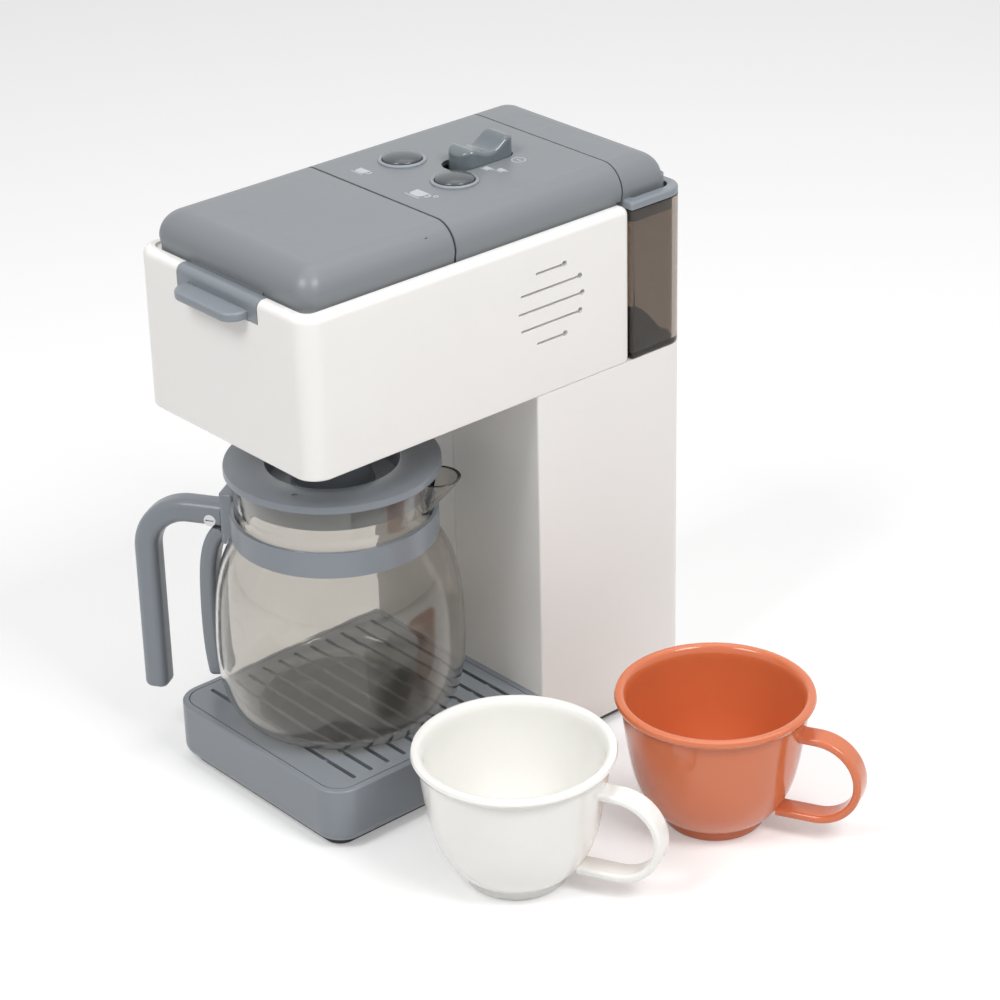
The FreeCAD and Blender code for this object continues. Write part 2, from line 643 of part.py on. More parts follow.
def tank_collar():
    """Grey collar: flat rim, shadow neck and a plug inside the tank's mouth."""
    rim = tank_outline(0, COLLAR_UNDER, COLLAR_TOP)
    rim = soften(rim, 1.0, lambda c, b: b.ZLength < 0.01 and c.z > COLLAR_TOP - 0.1 and c.y > TANK_FRONT + 1)
    neck = tank_outline(0.8, TANK_GLASS_TOP, COLLAR_UNDER + 0.5)
    plug = tank_outline(TANK_WALL + 0.15, 200, COLLAR_UNDER)
    collar = rim.fuse([neck, plug])
    return collar.cut(tank_outline(TANK_WALL + 1.9, 199, COLLAR_TOP + 1))


def tank_lid():
    """Rear end of the crown, with a plug skirt that drops into the collar."""
    lid = crown_part(TANK_LID_FRONT, 100, COLLAR_TOP)
    web = crown_form(0.9, CROWN_TOP - 0.9).common(
        block(-60, 60, TANK_LID_FRONT, TANK_LID_FRONT + CROWN_WALL, COLLAR_TOP, CROWN_TOP),
    )
    inset = CROWN_INSET + 0.4
    outer = prism(-HALF + inset, HALF - inset, TANK_FRONT + 4.6, REAR - inset, 203, COLLAR_TOP + 4, (1, 1, 4, 4))
    inset += 1.4
    inner = prism(-HALF + inset, HALF - inset, TANK_FRONT + 6.0, REAR - inset, 202, COLLAR_TOP + 5, (1, 1, 3, 3))
    bridge = block(-HALF + CROWN_INSET + 1, HALF - CROWN_INSET - 1, TANK_LID_FRONT, TANK_FRONT + 6.0, COLLAR_TOP, COLLAR_TOP + 1.4)
    skirt = outer.cut(inner)
    return lid.fuse([web, bridge, skirt])


def tank_insert():
    """Dark sloping insert that stands on the tank floor against its front wall."""
    z0 = HEAD_BOTTOM + TANK_WALL
    y0 = TANK_FRONT + MOVING_GAP + TANK_WALL
    curve = Part.BSplineCurve()
    curve.interpolate([Vec(0, y0, 167.5), Vec(0, 66, 165.2), Vec(0, 71, 160.0), Vec(0, 76, 154.2), Vec(0, 80.5, 151.0)])
    edges = [
        curve.toShape(),
        Part.makeLine(Vec(0, 80.5, 151.0), Vec(0, 80.5, z0)),
        Part.makeLine(Vec(0, 80.5, z0), Vec(0, y0, z0)),
        Part.makeLine(Vec(0, y0, z0), Vec(0, y0, 167.5)),
    ]
    half = HALF - TANK_WALL - 0.2
    hill = Part.Face(Part.Wire(edges)).extrude(Vec(2 * half, 0, 0)).translated(Vec(-half, 0, 0))
    return hill.common(tank_outline(TANK_WALL, z0, 180, y0))


# Brewing parts

def filter_basket():
    """Tapered basket with a rolled flange that hangs from the cover's shelf."""
    wall = 1.6
    outline = [
        (0, BASKET_FLOOR), (20.5, BASKET_FLOOR), (21.5, BASKET_FLOOR + 1.2), (BASKET_RADIUS, SHELF_TOP - 3),
        (BASKET_RADIUS, SHELF_TOP), (26.0, SHELF_TOP), (26.0, BASKET_TOP), (BASKET_RADIUS - wall, BASKET_TOP),
        (BASKET_RADIUS - wall, SHELF_TOP - 3), (21.5 - wall, BASKET_FLOOR + wall), (0, BASKET_FLOOR + wall),
    ]
    basket = spun(outline, 0, BASKET_Y)
    return basket.cut(rod(JUG_X, JUG_Y, BASKET_FLOOR - 1, 3.2, 5))


def drip_nozzle():
    """Flanged spout through the floor of the head, over the jug."""
    floor = HEAD_BOTTOM + SHELL_WALL
    return spun([
        (2.6, 143.4), (4.2, 143.4), (5.0, 145.5), (5.0, floor), (8.0, floor), (8.0, floor + 1.5),
        (5.0, floor + 1.5), (5.0, BASKET_FLOOR), (2.6, BASKET_FLOOR),
    ], JUG_X, JUG_Y)


def speaker():
    """Small loudspeaker pressed against the wall behind the grille."""
    wall = HALF - SHELL_WALL
    z = GRILLE_TOP_Z - 2 * GRILLE_PITCH
    frame = rod(wall - 1.6, GRILLE_Y, z, 17.0, 1.6, ALONG_X)
    cone = Part.makeCone(8.0, 15.0, 5.0, Vec(wall - 6.6, GRILLE_Y, z), ALONG_X)
    magnet = rod(wall - 11.0, GRILLE_Y, z, 8.0, 4.6, ALONG_X)
    dish = Part.makeCone(3.0, 13.5, 3.2, Vec(wall - 3.2, GRILLE_Y, z), ALONG_X)
    return frame.fuse([cone, magnet]).cut(dish)


# Power

def battery_box():
    """Open-bottomed box on the base with a screw boss between the cells."""
    outer = block(-28, 28, BATTERY_Y - 20, BATTERY_Y + 20, BASE_FLANGE_TOP, 22.5)
    inner = block(-26, 26, BATTERY_Y - 18.5, BATTERY_Y + 18.5, BASE_FLANGE_TOP - 1, 21)
    boss = rod(0, BATTERY_Y, BASE_FLANGE_TOP, 2.4, 17)
    return outer.cut(inner).fuse(boss).cut(rod(0, BATTERY_Y, 3, 1.0 + SCREW_CLEARANCE, 12))


def battery_cell(side):
    """Pen cell with its raised contact button."""
    y = BATTERY_Y + side * CELL_SPACING / 2
    body = rod(-CELL_LENGTH / 2, y, CELL_Z, CELL_RADIUS, CELL_LENGTH - 1.2, ALONG_X)
    body = soften(body, 0.5, lambda c, b: b.XLength < 0.01)
    button = rod(CELL_LENGTH / 2 - 1.3, y, CELL_Z, 2.7, 1.3, ALONG_X)
    cell = body.fuse(button)
    if side > 0:
        cell = cell.rotated(Vec(0, y, 0), UP, 180)
    return cell


def battery_contact(side):
    """Sprung-steel plate that joins both cells at one end."""
    x0 = CELL_LENGTH / 2 if side > 0 else -26.0
    return block(x0, x0 + 26.0 - CELL_LENGTH / 2, BATTERY_Y - 15, BATTERY_Y + 15, 8, 17.5)


def battery_door():
    """Ribbed door in the underside of the base."""
    door = prism(-26.8, 26.8, BATTERY_Y - 15.8, BATTERY_Y + 15.8, 0.8, 3.3, (1, 1, 1, 1))
    grooves = [block(x - 0.5, x + 0.5, BATTERY_Y - 8, BATTERY_Y + 8, 0.5, 1.3) for x in (13, 15.5, 18, 20.5)]
    hole = [rod(0, BATTERY_Y, 0, 1.2, 5), rod(0, BATTERY_Y, 0, 2.4, 1.9)]
    return door.cut(grooves + hole)


def battery_door_screw():
    """Small screw that holds the door."""
    head = rod(0, BATTERY_Y, 0.9, 2.1, 1.0)
    shank = rod(0, BATTERY_Y, 1.9, 1.0, 12)
    cross = block(-1.3, 1.3, BATTERY_Y - 0.25, BATTERY_Y + 0.25, 0.5, 1.4)
    return head.fuse(shank).cut(cross.fuse(block(-0.25, 0.25, BATTERY_Y - 1.3, BATTERY_Y + 1.3, 0.5, 1.4)))


# Jug

def spun_wall(outer, inner, floor):
    """Solid of revolution between a smooth outer and a smooth inner outline."""
    edges = [smooth_edge(outer)]
    edges += chain([outer[-1], inner[-1]])
    edges.append(smooth_edge(inner[::-1]))
    edges += chain([inner[0], (0, floor), (0, outer[0][1]), outer[0]])
    return Part.Face(Part.Wire(edges)).revolve(Vec(0, 0, 0), UP, 360)


def jug_body():
    """Blown-look jug: rounded body, groove for the band, flared mouth and pouring lip."""
    belly = list(JUG_OUTLINE)
    neck = [(35.9, 96.6), (35.9, 107.4), (35.4, 108.6), (35.8, 110.2), (36.6, 116.0), (37.8, JUG_MOUTH)]
    belly_inner = inward(belly, JUG_WALL)
    floor = belly[0][1] + JUG_WALL + 0.3
    belly_inner[0] = (30.6, floor)
    neck_inner = [(r - JUG_WALL, z) for r, z in neck]
    outer = [smooth_edge(belly)] + chain([belly[-1]] + neck)
    inner = [smooth_edge(belly_inner[::-1])] + chain([belly_inner[-1]] + neck_inner)
    ends = chain([neck[-1], neck_inner[-1]]) + chain([belly_inner[0], (0, floor), (0, belly[0][1]), belly[0]])
    wall = Part.Face(Part.Wire(Part.__sortEdges__(outer + inner + ends))).revolve(Vec(0, 0, 0), UP, 360)
    cavity_edges = [smooth_edge(belly_inner)] + chain([belly_inner[-1]] + neck_inner)
    cavity_edges += chain([neck_inner[-1], (0, JUG_MOUTH), (0, floor), belly_inner[0]])
    cavity = Part.Face(Part.Wire(Part.__sortEdges__(cavity_edges))).revolve(Vec(0, 0, 0), UP, 360)
    lip = spout_form(0).cut(cavity)
    pour = spout_form(1.3)
    body = wall.fuse(lip).cut(pour)
    return placed(body, JUG_X, JUG_Y, HANDLE_ANGLE - 180)


def spout_form(inset):
    """Leaning horn that widens from the neck to the pouring tip."""
    sections = []
    for centre, radius, z in ((29.5, 5.0, 106.8), (33.5, 7.0, 113.5), (36.9, 8.3, 119.0), (SPOUT_REACH - 8.8, 8.8, JUG_MOUTH)):
        sections.append(Part.Wire(Part.makeCircle(radius - inset, Vec(centre, 0, z), UP)))
    if inset > 0:
        sections.append(Part.Wire(Part.makeCircle(8.8 - inset, Vec(SPOUT_REACH - 7.6, 0, JUG_MOUTH + 3), UP)))
    return Part.makeLoft(sections, True, False)


def jug_lid():
    """Lid with a sunken ring, a central knob and a plug skirt."""
    top = JUG_MOUTH + 2.9
    lid = spun([
        (0, top + 4.0), (11.4, top + 4.0), (12.8, top + 3.4), (13.5, top + 2.0), (14.2, 118.2), (15.2, 117.2),
        (21.8, 117.2), (22.8, 117.9), (24.3, top - 0.4), (25.0, top), (38.2, top), (38.9, top - 0.3),
        (JUG_LID_RADIUS, top - 1.0), (JUG_LID_RADIUS, JUG_MOUTH), (34.0, JUG_MOUTH), (34.0, 114.0), (32.4, 114.0),
        (32.4, JUG_MOUTH + 0.9), (26.6, JUG_MOUTH + 0.9), (24.2, 115.2), (12.4, 115.2), (11.7, top + 2.2), (0, top + 2.2),
    ])
    vents = [rod(18.5, 0, 114, 1.3, 4).rotated(Vec(0, 0, 0), UP, a) for a in (-76, 76)]
    dimple = rod(31.5, 0, top - 0.5, 1.2, 2).rotated(Vec(0, 0, 0), UP, 175)
    return placed(lid.cut(vents + [dimple]), JUG_X, JUG_Y, HANDLE_ANGLE - 180 + 90)


def jug_band():
    """Snap band in the neck groove, with a clip plate for the handle."""
    ring = spun([(BAND_INNER, BAND_BOTTOM), (BAND_OUTER, BAND_BOTTOM), (BAND_OUTER, BAND_TOP), (BAND_INNER, BAND_TOP)])
    plate = prism(BAND_INNER + 0.8, 42.6, -6.2, 6.2, BAND_BOTTOM - 8.5, BAND_TOP + 2.2, (1, 2, 2, 1))
    plate = soften(plate, 0.8, lambda c, b: b.ZLength < 0.01)
    clear = jug_keep_out()
    return placed(ring.fuse(plate.cut(clear)), JUG_X, JUG_Y, HANDLE_ANGLE)


def jug_keep_out():
    """Jug outside grown by the moving gap, used to keep handle parts off its wall."""
    grown = [(r + MOVING_GAP, z) for r, z in JUG_OUTLINE] + [(BAND_INNER, 96.4), (BAND_INNER, 120)]
    return spun([(0, JUG_OUTLINE[0][1])] + grown + [(0, 120)])


def jug_grip_bar():
    """Inner bar of the handle that hugs the jug below the clip plate."""
    path = Part.BSplineCurve()
    path.interpolate([
        Vec(42.9, 0, 92.5), Vec(46.2, 0, 88.6), Vec(48.9, 0, 81.0), Vec(50.2, 0, 68.0), Vec(50.4, 0, 52.0), Vec(49.6, 0, 38.0),
        Vec(48.6, 0, 31.0),
    ])
    start = path.tangent(path.FirstParameter)[0]
    wire = rounded_wire(-3.1, 3.1, -4.6, 4.6, 0, (2.2,) * 4)
    tilt = math.degrees(math.atan2(start.x, start.z))
    wire = wire.rotated(Vec(0, 0, 0), Vec(0, 1, 0), tilt).translated(Vec(42.9, 0, 92.5))
    bar = Part.Wire([path.toShape()]).makePipeShell([wire], True, False)
    bar = soften(bar, 2.0, lambda c, b: c.z < 34 and b.ZLength < 1.5)
    bar = bar.cut(jug_keep_out()).cut([block(30, 42.6, -10, 10, 80, 110), block(30, 60, -10, 10, ARM_LEVEL - ARM_DEPTH / 2 - SEAM_GAP, 110)])
    return placed(bar, JUG_X, JUG_Y, HANDLE_ANGLE)


def jug_handle():
    """Arm and grip: a rounded strap that leaves the clip plate and turns down."""
    level = ARM_LEVEL
    bend = 17.5
    drop = 56.2
    arc_centre = Vec(drop, 0, level - bend)
    half_turn = math.radians(45)
    middle = Vec(drop + bend * math.sin(half_turn), 0, level - bend + bend * math.cos(half_turn))
    path = [
        Part.makeLine(Vec(42.6, 0, level), Vec(drop, 0, level)),
        Part.Arc(Vec(drop, 0, level), middle, Vec(arc_centre.x + bend, 0, arc_centre.z)).toShape(),
        Part.makeLine(Vec(drop + bend, 0, arc_centre.z), Vec(drop + bend, 0, 22.0)),
    ]
    grip = swept(path, 10.0, ARM_DEPTH, 3.2)
    grip = soften(grip, 2.6, lambda c, b: c.z < 22.1 and b.ZLength < 0.01)
    lean = Vec(drop, 0, level)
    grip = grip.rotated(lean, Vec(0, 1, 0), 0)
    hole = rod(46.8, -6, 96.6, 1.2, 12, Vec(0, 1, 0))
    sink = rod(46.8, 3.6, 96.6, 2.4, 4, Vec(0, 1, 0))
    return placed(grip.cut([hole, sink]), JUG_X, JUG_Y, HANDLE_ANGLE)


def jug_handle_screw():
    """Cross screw in the side of the arm."""
    head = rod(46.8, 3.6, 96.6, 2.3, 1.3, Vec(0, 1, 0))
    shank = rod(46.8, -4.2, 96.6, 1.2, 7.8, Vec(0, 1, 0))
    slot = block(45.2, 48.4, 4.2, 5.5, 96.3, 96.9)
    return placed(head.fuse(shank).cut(slot), JUG_X, JUG_Y, HANDLE_ANGLE)


# Cups

def cup(place):
    """Tapered toy cup with a rolled lip, a foot ring and a flat strap handle."""
    outer = list(CUP_LEVELS)
    inner = inward(outer, CUP_WALL)
    floor = 5.2
    inner[0] = (16.5, floor)
    inner = [inner[0], (19.6, 7.0)] + inner[2:]
    lip = [
        outer[-1], (34.4, 48.5), (35.4, 49.0), (CUP_LIP, 50.1), (35.5, 51.2), (34.5, CUP_HEIGHT),
        (33.2, 51.6), (32.3, 50.8), inner[-1],
    ]
    foot = [(0, 1.4), (15.6, 1.4), (16.2, 0), (17.6, 0), (CUP_FOOT, 0.7), (18.3, 3.0), outer[0]]
    edges = [smooth_edge(outer)] + chain(lip) + [smooth_edge(inner[::-1])]
    edges += chain([inner[0], (0, floor), (0, 1.4)]) + chain(foot)
    body = Part.Face(Part.Wire(Part.__sortEdges__(edges))).revolve(Vec(0, 0, 0), UP, 360)
    reach = 38.2
    bend = 15.8
    top = 40.4
    path = [
        Part.makeLine(Vec(31.7, 0, top), Vec(reach, 0, top)),
        Part.Arc(Vec(reach, 0, top), Vec(reach + bend, 0, top - bend), Vec(reach, 0, top - 2 * bend)).toShape(),
        Part.makeLine(Vec(reach, 0, top - 2 * bend), Vec(24.4, 0, top - 2 * bend)),
    ]
    strap = swept(path, CUP_STRAP_WIDTH, CUP_STRAP_THICK, 1.2)
    whole = body.fuse(strap)
    return placed(whole, place[0], place[1], CUP_HANDLE_ANGLE)


os.makedirs("parts", exist_ok=True)

NODES = {
    "base_plate": base_plate,
    "left_housing": lambda: housing_half(-1),
    "right_housing": lambda: housing_half(1),
    "front_cover": front_cover,
    "drip_tray": drip_tray,
    "drip_grate": drip_grate,
    "control_deck": control_deck,
    "front_lid": front_lid,
    "lid_lift_tab": lid_lift_tab,
    "lid_hinge_bracket": lid_hinge_bracket,
    "left_lid_pin": lambda: lid_hinge_pin(-1),
    "right_lid_pin": lambda: lid_hinge_pin(1),
    "left_bezel": lambda: button_bezel(BUTTON_LEFT_X),
    "right_bezel": lambda: button_bezel(BUTTON_RIGHT_X),
    "left_button": lambda: button_cap(BUTTON_LEFT_X),
    "right_button": lambda: button_cap(BUTTON_RIGHT_X),
    "left_button_spring": lambda: button_spring(BUTTON_LEFT_X),
    "right_button_spring": lambda: button_spring(BUTTON_RIGHT_X),
    "left_tact_switch": lambda: switch_body(BUTTON_LEFT_X),
    "right_tact_switch": lambda: switch_body(BUTTON_RIGHT_X),
    "switch_knob": switch_knob,
    "slide_switch": slide_switch,
    "circuit_board": circuit_board,
    "speaker": speaker,
    "water_tank": water_tank,
    "tank_collar": tank_collar,
    "tank_lid": tank_lid,
    "tank_insert": tank_insert,
    "filter_basket": filter_basket,
    "drip_nozzle": drip_nozzle,
    "battery_box": battery_box,
    "front_battery_cell": lambda: battery_cell(-1),
    "rear_battery_cell": lambda: battery_cell(1),
    "left_battery_contact": lambda: battery_contact(-1),
    "right_battery_contact": lambda: battery_contact(1),
    "battery_door": battery_door,
    "battery_door_screw": battery_door_screw,
    "front_left_screw": lambda: housing_screw(-37.0, 26.0),
    "front_right_screw": lambda: housing_screw(37.0, 26.0),
    "rear_left_screw": lambda: housing_screw(-37.0, 77.0),
    "rear_right_screw": lambda: housing_screw(37.0, 77.0),
    "jug_body": jug_body,
    "jug_lid": jug_lid,
    "jug_band": jug_band,
    "jug_grip_bar": jug_grip_bar,
    "jug_handle": jug_handle,
    "jug_handle_screw": jug_handle_screw,
    "white_cup": lambda: cup(WHITE_CUP),
    "terracotta_cup": lambda: cup(TERRACOTTA_CUP),
}

for node, make in NODES.items():
    save(node, make())
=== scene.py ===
"""Looks of a toy coffee maker: moulded shell, grey crown, smoked tank and jug, loose cups and a soft studio."""

import logging
import math
from dataclasses import dataclass
from enum import Enum
from typing import Dict, List, Sequence, Tuple

import bmesh
import bpy
from mathutils import Matrix, Vector


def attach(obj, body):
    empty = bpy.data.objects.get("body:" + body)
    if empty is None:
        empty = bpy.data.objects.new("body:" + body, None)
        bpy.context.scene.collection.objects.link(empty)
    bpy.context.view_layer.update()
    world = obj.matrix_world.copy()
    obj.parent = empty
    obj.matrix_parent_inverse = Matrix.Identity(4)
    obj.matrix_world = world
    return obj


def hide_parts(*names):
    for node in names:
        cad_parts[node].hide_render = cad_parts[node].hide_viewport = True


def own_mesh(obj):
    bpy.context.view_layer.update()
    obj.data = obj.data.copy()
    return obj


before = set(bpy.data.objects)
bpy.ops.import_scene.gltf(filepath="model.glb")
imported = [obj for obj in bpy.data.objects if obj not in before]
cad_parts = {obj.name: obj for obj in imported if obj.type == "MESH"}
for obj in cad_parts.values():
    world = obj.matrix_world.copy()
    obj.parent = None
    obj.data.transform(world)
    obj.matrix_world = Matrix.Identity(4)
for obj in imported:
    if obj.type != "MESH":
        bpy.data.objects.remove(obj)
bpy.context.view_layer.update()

LOG = logging.getLogger("coffee_maker")
MM = 0.001
WELD_REACH = 1e-6
PEEL_HEIGHT = 0.0004
RIPPLE_HEIGHT = 0.0006
GRAIN_HEIGHT = 0.0002
GRAIN_SHARE = 0.1
PLASTIC_IOR = 1.5
COAT_ROUGHNESS = 0.08
SENSOR_WIDTH = 36.0
FLOOR_REACH = 6.0
FLOOR_DROP = 0.0002
Colour = Tuple[float, float, float]
Point2 = Tuple[float, float]
Point3 = Tuple[float, float, float]


def srgb(red: int, green: int, blue: int) -> Colour:
    """Turn 8-bit display values into linear colour.

    Args:
        red: Red value from 0 to 255.
        green: Green value from 0 to 255.
        blue: Blue value from 0 to 255.

    Returns:
        The linear colour.
    """
    def lift(value: int) -> float:
        """Linear value of one channel."""
        part = value / 255
        return part / 12.92 if part <= 0.04045 else ((part + 0.055) / 1.055) ** 2.4

    return lift(red), lift(green), lift(blue)


# Shader node groups

class Effect(Enum):
    """Shared surface effects, each built once as a node group."""

    MOULDED_SKIN = "moulded_skin"
    DUST_SPECKS = "dust_specks"
    FLOW_MARKS = "flow_marks"
    HANDLING = "handling_scuffs"


class EffectLibrary:
    """Builds the shared node groups and hands them to the materials."""

    def __init__(self) -> None:
        """Start with no groups built."""
        self._built: Dict[Effect, bpy.types.ShaderNodeTree] = {}

    def get(self, effect: Effect) -> bpy.types.ShaderNodeTree:
        """Return a group, building it the first time.

        Args:
            effect: The effect wanted.

        Returns:
            The node group.
        """
        if effect not in self._built:
            makers = {
                Effect.MOULDED_SKIN: self._moulded_skin,
                Effect.DUST_SPECKS: self._dust_specks,
                Effect.FLOW_MARKS: self._flow_marks,
                Effect.HANDLING: self._handling_scuffs,
            }
            self._built[effect] = makers[effect]()
        return self._built[effect]

    @staticmethod
    def _start(
        name: str,
        inputs: Sequence[Tuple[str, str, object]],
        outputs: Sequence[Tuple[str, str]],
    ) -> Tuple[bpy.types.ShaderNodeTree, bpy.types.Node, bpy.types.Node]:
        """Make an empty group with its sockets.

        Args:
            name: Name of the group.
            inputs: Name, socket type and default of each input.
            outputs: Name and socket type of each output.

        Returns:
            The tree, its input node and its output node.
        """
        tree = bpy.data.node_groups.new(name, "ShaderNodeTree")
        for label, kind, default in inputs:
            socket = tree.interface.new_socket(name=label, in_out="INPUT", socket_type=kind)
            socket.default_value = default
        for label, kind in outputs:
            tree.interface.new_socket(name=label, in_out="OUTPUT", socket_type=kind)
        return tree, tree.nodes.new("NodeGroupInput"), tree.nodes.new("NodeGroupOutput")

    def _moulded_skin(self) -> bpy.types.ShaderNodeTree:
        """Injection-moulded skin: faint mottle, uneven gloss and a fine orange peel.

        Returns:
            The node group.
        """
        tree, source, sink = self._start(
            "moulded_skin",
            [
                ("Colour", "NodeSocketColor", (0.5, 0.5, 0.5, 1.0)),
                ("Mottle", "NodeSocketFloat", 0.04),
                ("Gloss Base", "NodeSocketFloat", 0.3),
                ("Gloss Spread", "NodeSocketFloat", 0.06),
                ("Peel Scale", "NodeSocketFloat", 420.0),
            ],
            [("Colour", "NodeSocketColor"), ("Roughness", "NodeSocketFloat"), ("Height", "NodeSocketFloat")],
        )
        draw = Wiring(tree)
        place = draw.node("ShaderNodeTexCoord").outputs["Object"]
        cloud = draw.node("ShaderNodeTexNoise", Scale=38.0, Detail=4.0, Roughness=0.55)
        draw.link(place, cloud.inputs["Vector"])
        centred = draw.maths("SUBTRACT", cloud.outputs["Fac"], 0.5)
        swing = draw.maths("MULTIPLY", centred, source.outputs["Mottle"])
        shade = draw.maths("ADD", swing, 1.0)
        scaled = draw.node("ShaderNodeVectorMath", operation="SCALE")
        draw.link(source.outputs["Colour"], scaled.inputs[0])
        draw.link(shade, scaled.inputs["Scale"])
        draw.link(scaled.outputs[0], sink.inputs["Colour"])
        patch = draw.node("ShaderNodeTexNoise", Scale=90.0, Detail=3.0, Roughness=0.6)
        draw.link(place, patch.inputs["Vector"])
        uneven = draw.maths("SUBTRACT", patch.outputs["Fac"], 0.5)
        gloss = draw.maths("MULTIPLY", uneven, source.outputs["Gloss Spread"])
        draw.link(draw.maths("ADD", gloss, source.outputs["Gloss Base"]), sink.inputs["Roughness"])
        peel = draw.node("ShaderNodeTexNoise", Detail=2.0, Roughness=0.5)
        draw.link(place, peel.inputs["Vector"])
        draw.link(source.outputs["Peel Scale"], peel.inputs["Scale"])
        draw.link(peel.outputs["Fac"], sink.inputs["Height"])
        return tree

    def _dust_specks(self) -> bpy.types.ShaderNodeTree:
        """Sparse specks of dust.

        Returns:
            The node group, which puts out a mask.
        """
        tree, source, sink = self._start(
            "dust_specks",
            [
                ("Spacing", "NodeSocketFloat", 160.0),
                ("Size", "NodeSocketFloat", 0.05),
                ("Amount", "NodeSocketFloat", 0.2),
            ],
            [("Mask", "NodeSocketFloat")],
        )
        draw = Wiring(tree)
        place = draw.node("ShaderNodeTexCoord").outputs["Object"]
        cells = draw.node("ShaderNodeTexVoronoi", feature="F1")
        draw.link(place, cells.inputs["Vector"])
        draw.link(source.outputs["Spacing"], cells.inputs["Scale"])
        close = draw.maths("LESS_THAN", cells.outputs["Distance"], source.outputs["Size"])
        pick = draw.node("ShaderNodeSeparateColor")
        draw.link(cells.outputs["Color"], pick.inputs[0])
        chosen = draw.maths("LESS_THAN", pick.outputs[0], source.outputs["Amount"])
        draw.link(draw.maths("MULTIPLY", close, chosen), sink.inputs["Mask"])
        return tree

    def _flow_marks(self) -> bpy.types.ShaderNodeTree:
        """Concentric ripples that a round moulding keeps around its gate.

        Returns:
            The node group, which puts out a height.
        """
        tree, source, sink = self._start(
            "flow_marks",
            [
                ("Centre", "NodeSocketVector", (0.0, 0.0, 0.0)),
                ("Ripples", "NodeSocketFloat", 2600.0),
                ("Waver", "NodeSocketFloat", 0.003),
            ],
            [("Height", "NodeSocketFloat"), ("Reach", "NodeSocketFloat")],
        )
        draw = Wiring(tree)
        place = draw.node("ShaderNodeTexCoord").outputs["Object"]
        drift = draw.node("ShaderNodeTexNoise", Scale=45.0, Detail=2.0)
        draw.link(place, drift.inputs["Vector"])
        offset = draw.node("ShaderNodeVectorMath", operation="SUBTRACT")
        draw.link(place, offset.inputs[0])
        draw.link(source.outputs["Centre"], offset.inputs[1])
        length = draw.node("ShaderNodeVectorMath", operation="LENGTH")
        draw.link(offset.outputs[0], length.inputs[0])
        sway = draw.maths("MULTIPLY", drift.outputs["Fac"], source.outputs["Waver"])
        bent = draw.maths("ADD", length.outputs["Value"], sway)
        wave = draw.maths("SINE", draw.maths("MULTIPLY", bent, source.outputs["Ripples"]), 0.0)
        draw.link(draw.maths("MULTIPLY", wave, 0.5), sink.inputs["Height"])
        fade = draw.node("ShaderNodeMapRange")
        draw.link(length.outputs["Value"], fade.inputs["Value"])
        fade.inputs["From Min"].default_value = 0.0
        fade.inputs["From Max"].default_value = 0.03
        fade.inputs["To Min"].default_value = 1.0
        fade.inputs["To Max"].default_value = 0.0
        draw.link(fade.outputs["Result"], sink.inputs["Reach"])
        return tree

    def _handling_scuffs(self) -> bpy.types.ShaderNodeTree:
        """Hair-fine rubbed streaks from handling and packing.

        Returns:
            The node group, which puts out a mask.
        """
        tree, source, sink = self._start(
            "handling_scuffs",
            [("Stretch", "NodeSocketVector", (30.0, 30.0, 260.0)), ("Amount", "NodeSocketFloat", 0.35)],
            [("Mask", "NodeSocketFloat")],
        )
        draw = Wiring(tree)
        place = draw.node("ShaderNodeTexCoord").outputs["Object"]
        pull = draw.node("ShaderNodeVectorMath", operation="MULTIPLY")
        draw.link(place, pull.inputs[0])
        draw.link(source.outputs["Stretch"], pull.inputs[1])
        streak = draw.node("ShaderNodeTexNoise", Scale=1.0, Detail=6.0, Roughness=0.7)
        draw.link(pull.outputs[0], streak.inputs["Vector"])
        ramp = draw.node("ShaderNodeMapRange")
        draw.link(streak.outputs["Fac"], ramp.inputs["Value"])
        ramp.inputs["From Min"].default_value = 0.58
        ramp.inputs["From Max"].default_value = 0.80
        draw.link(draw.maths("MULTIPLY", ramp.outputs["Result"], source.outputs["Amount"]), sink.inputs["Mask"])
        return tree


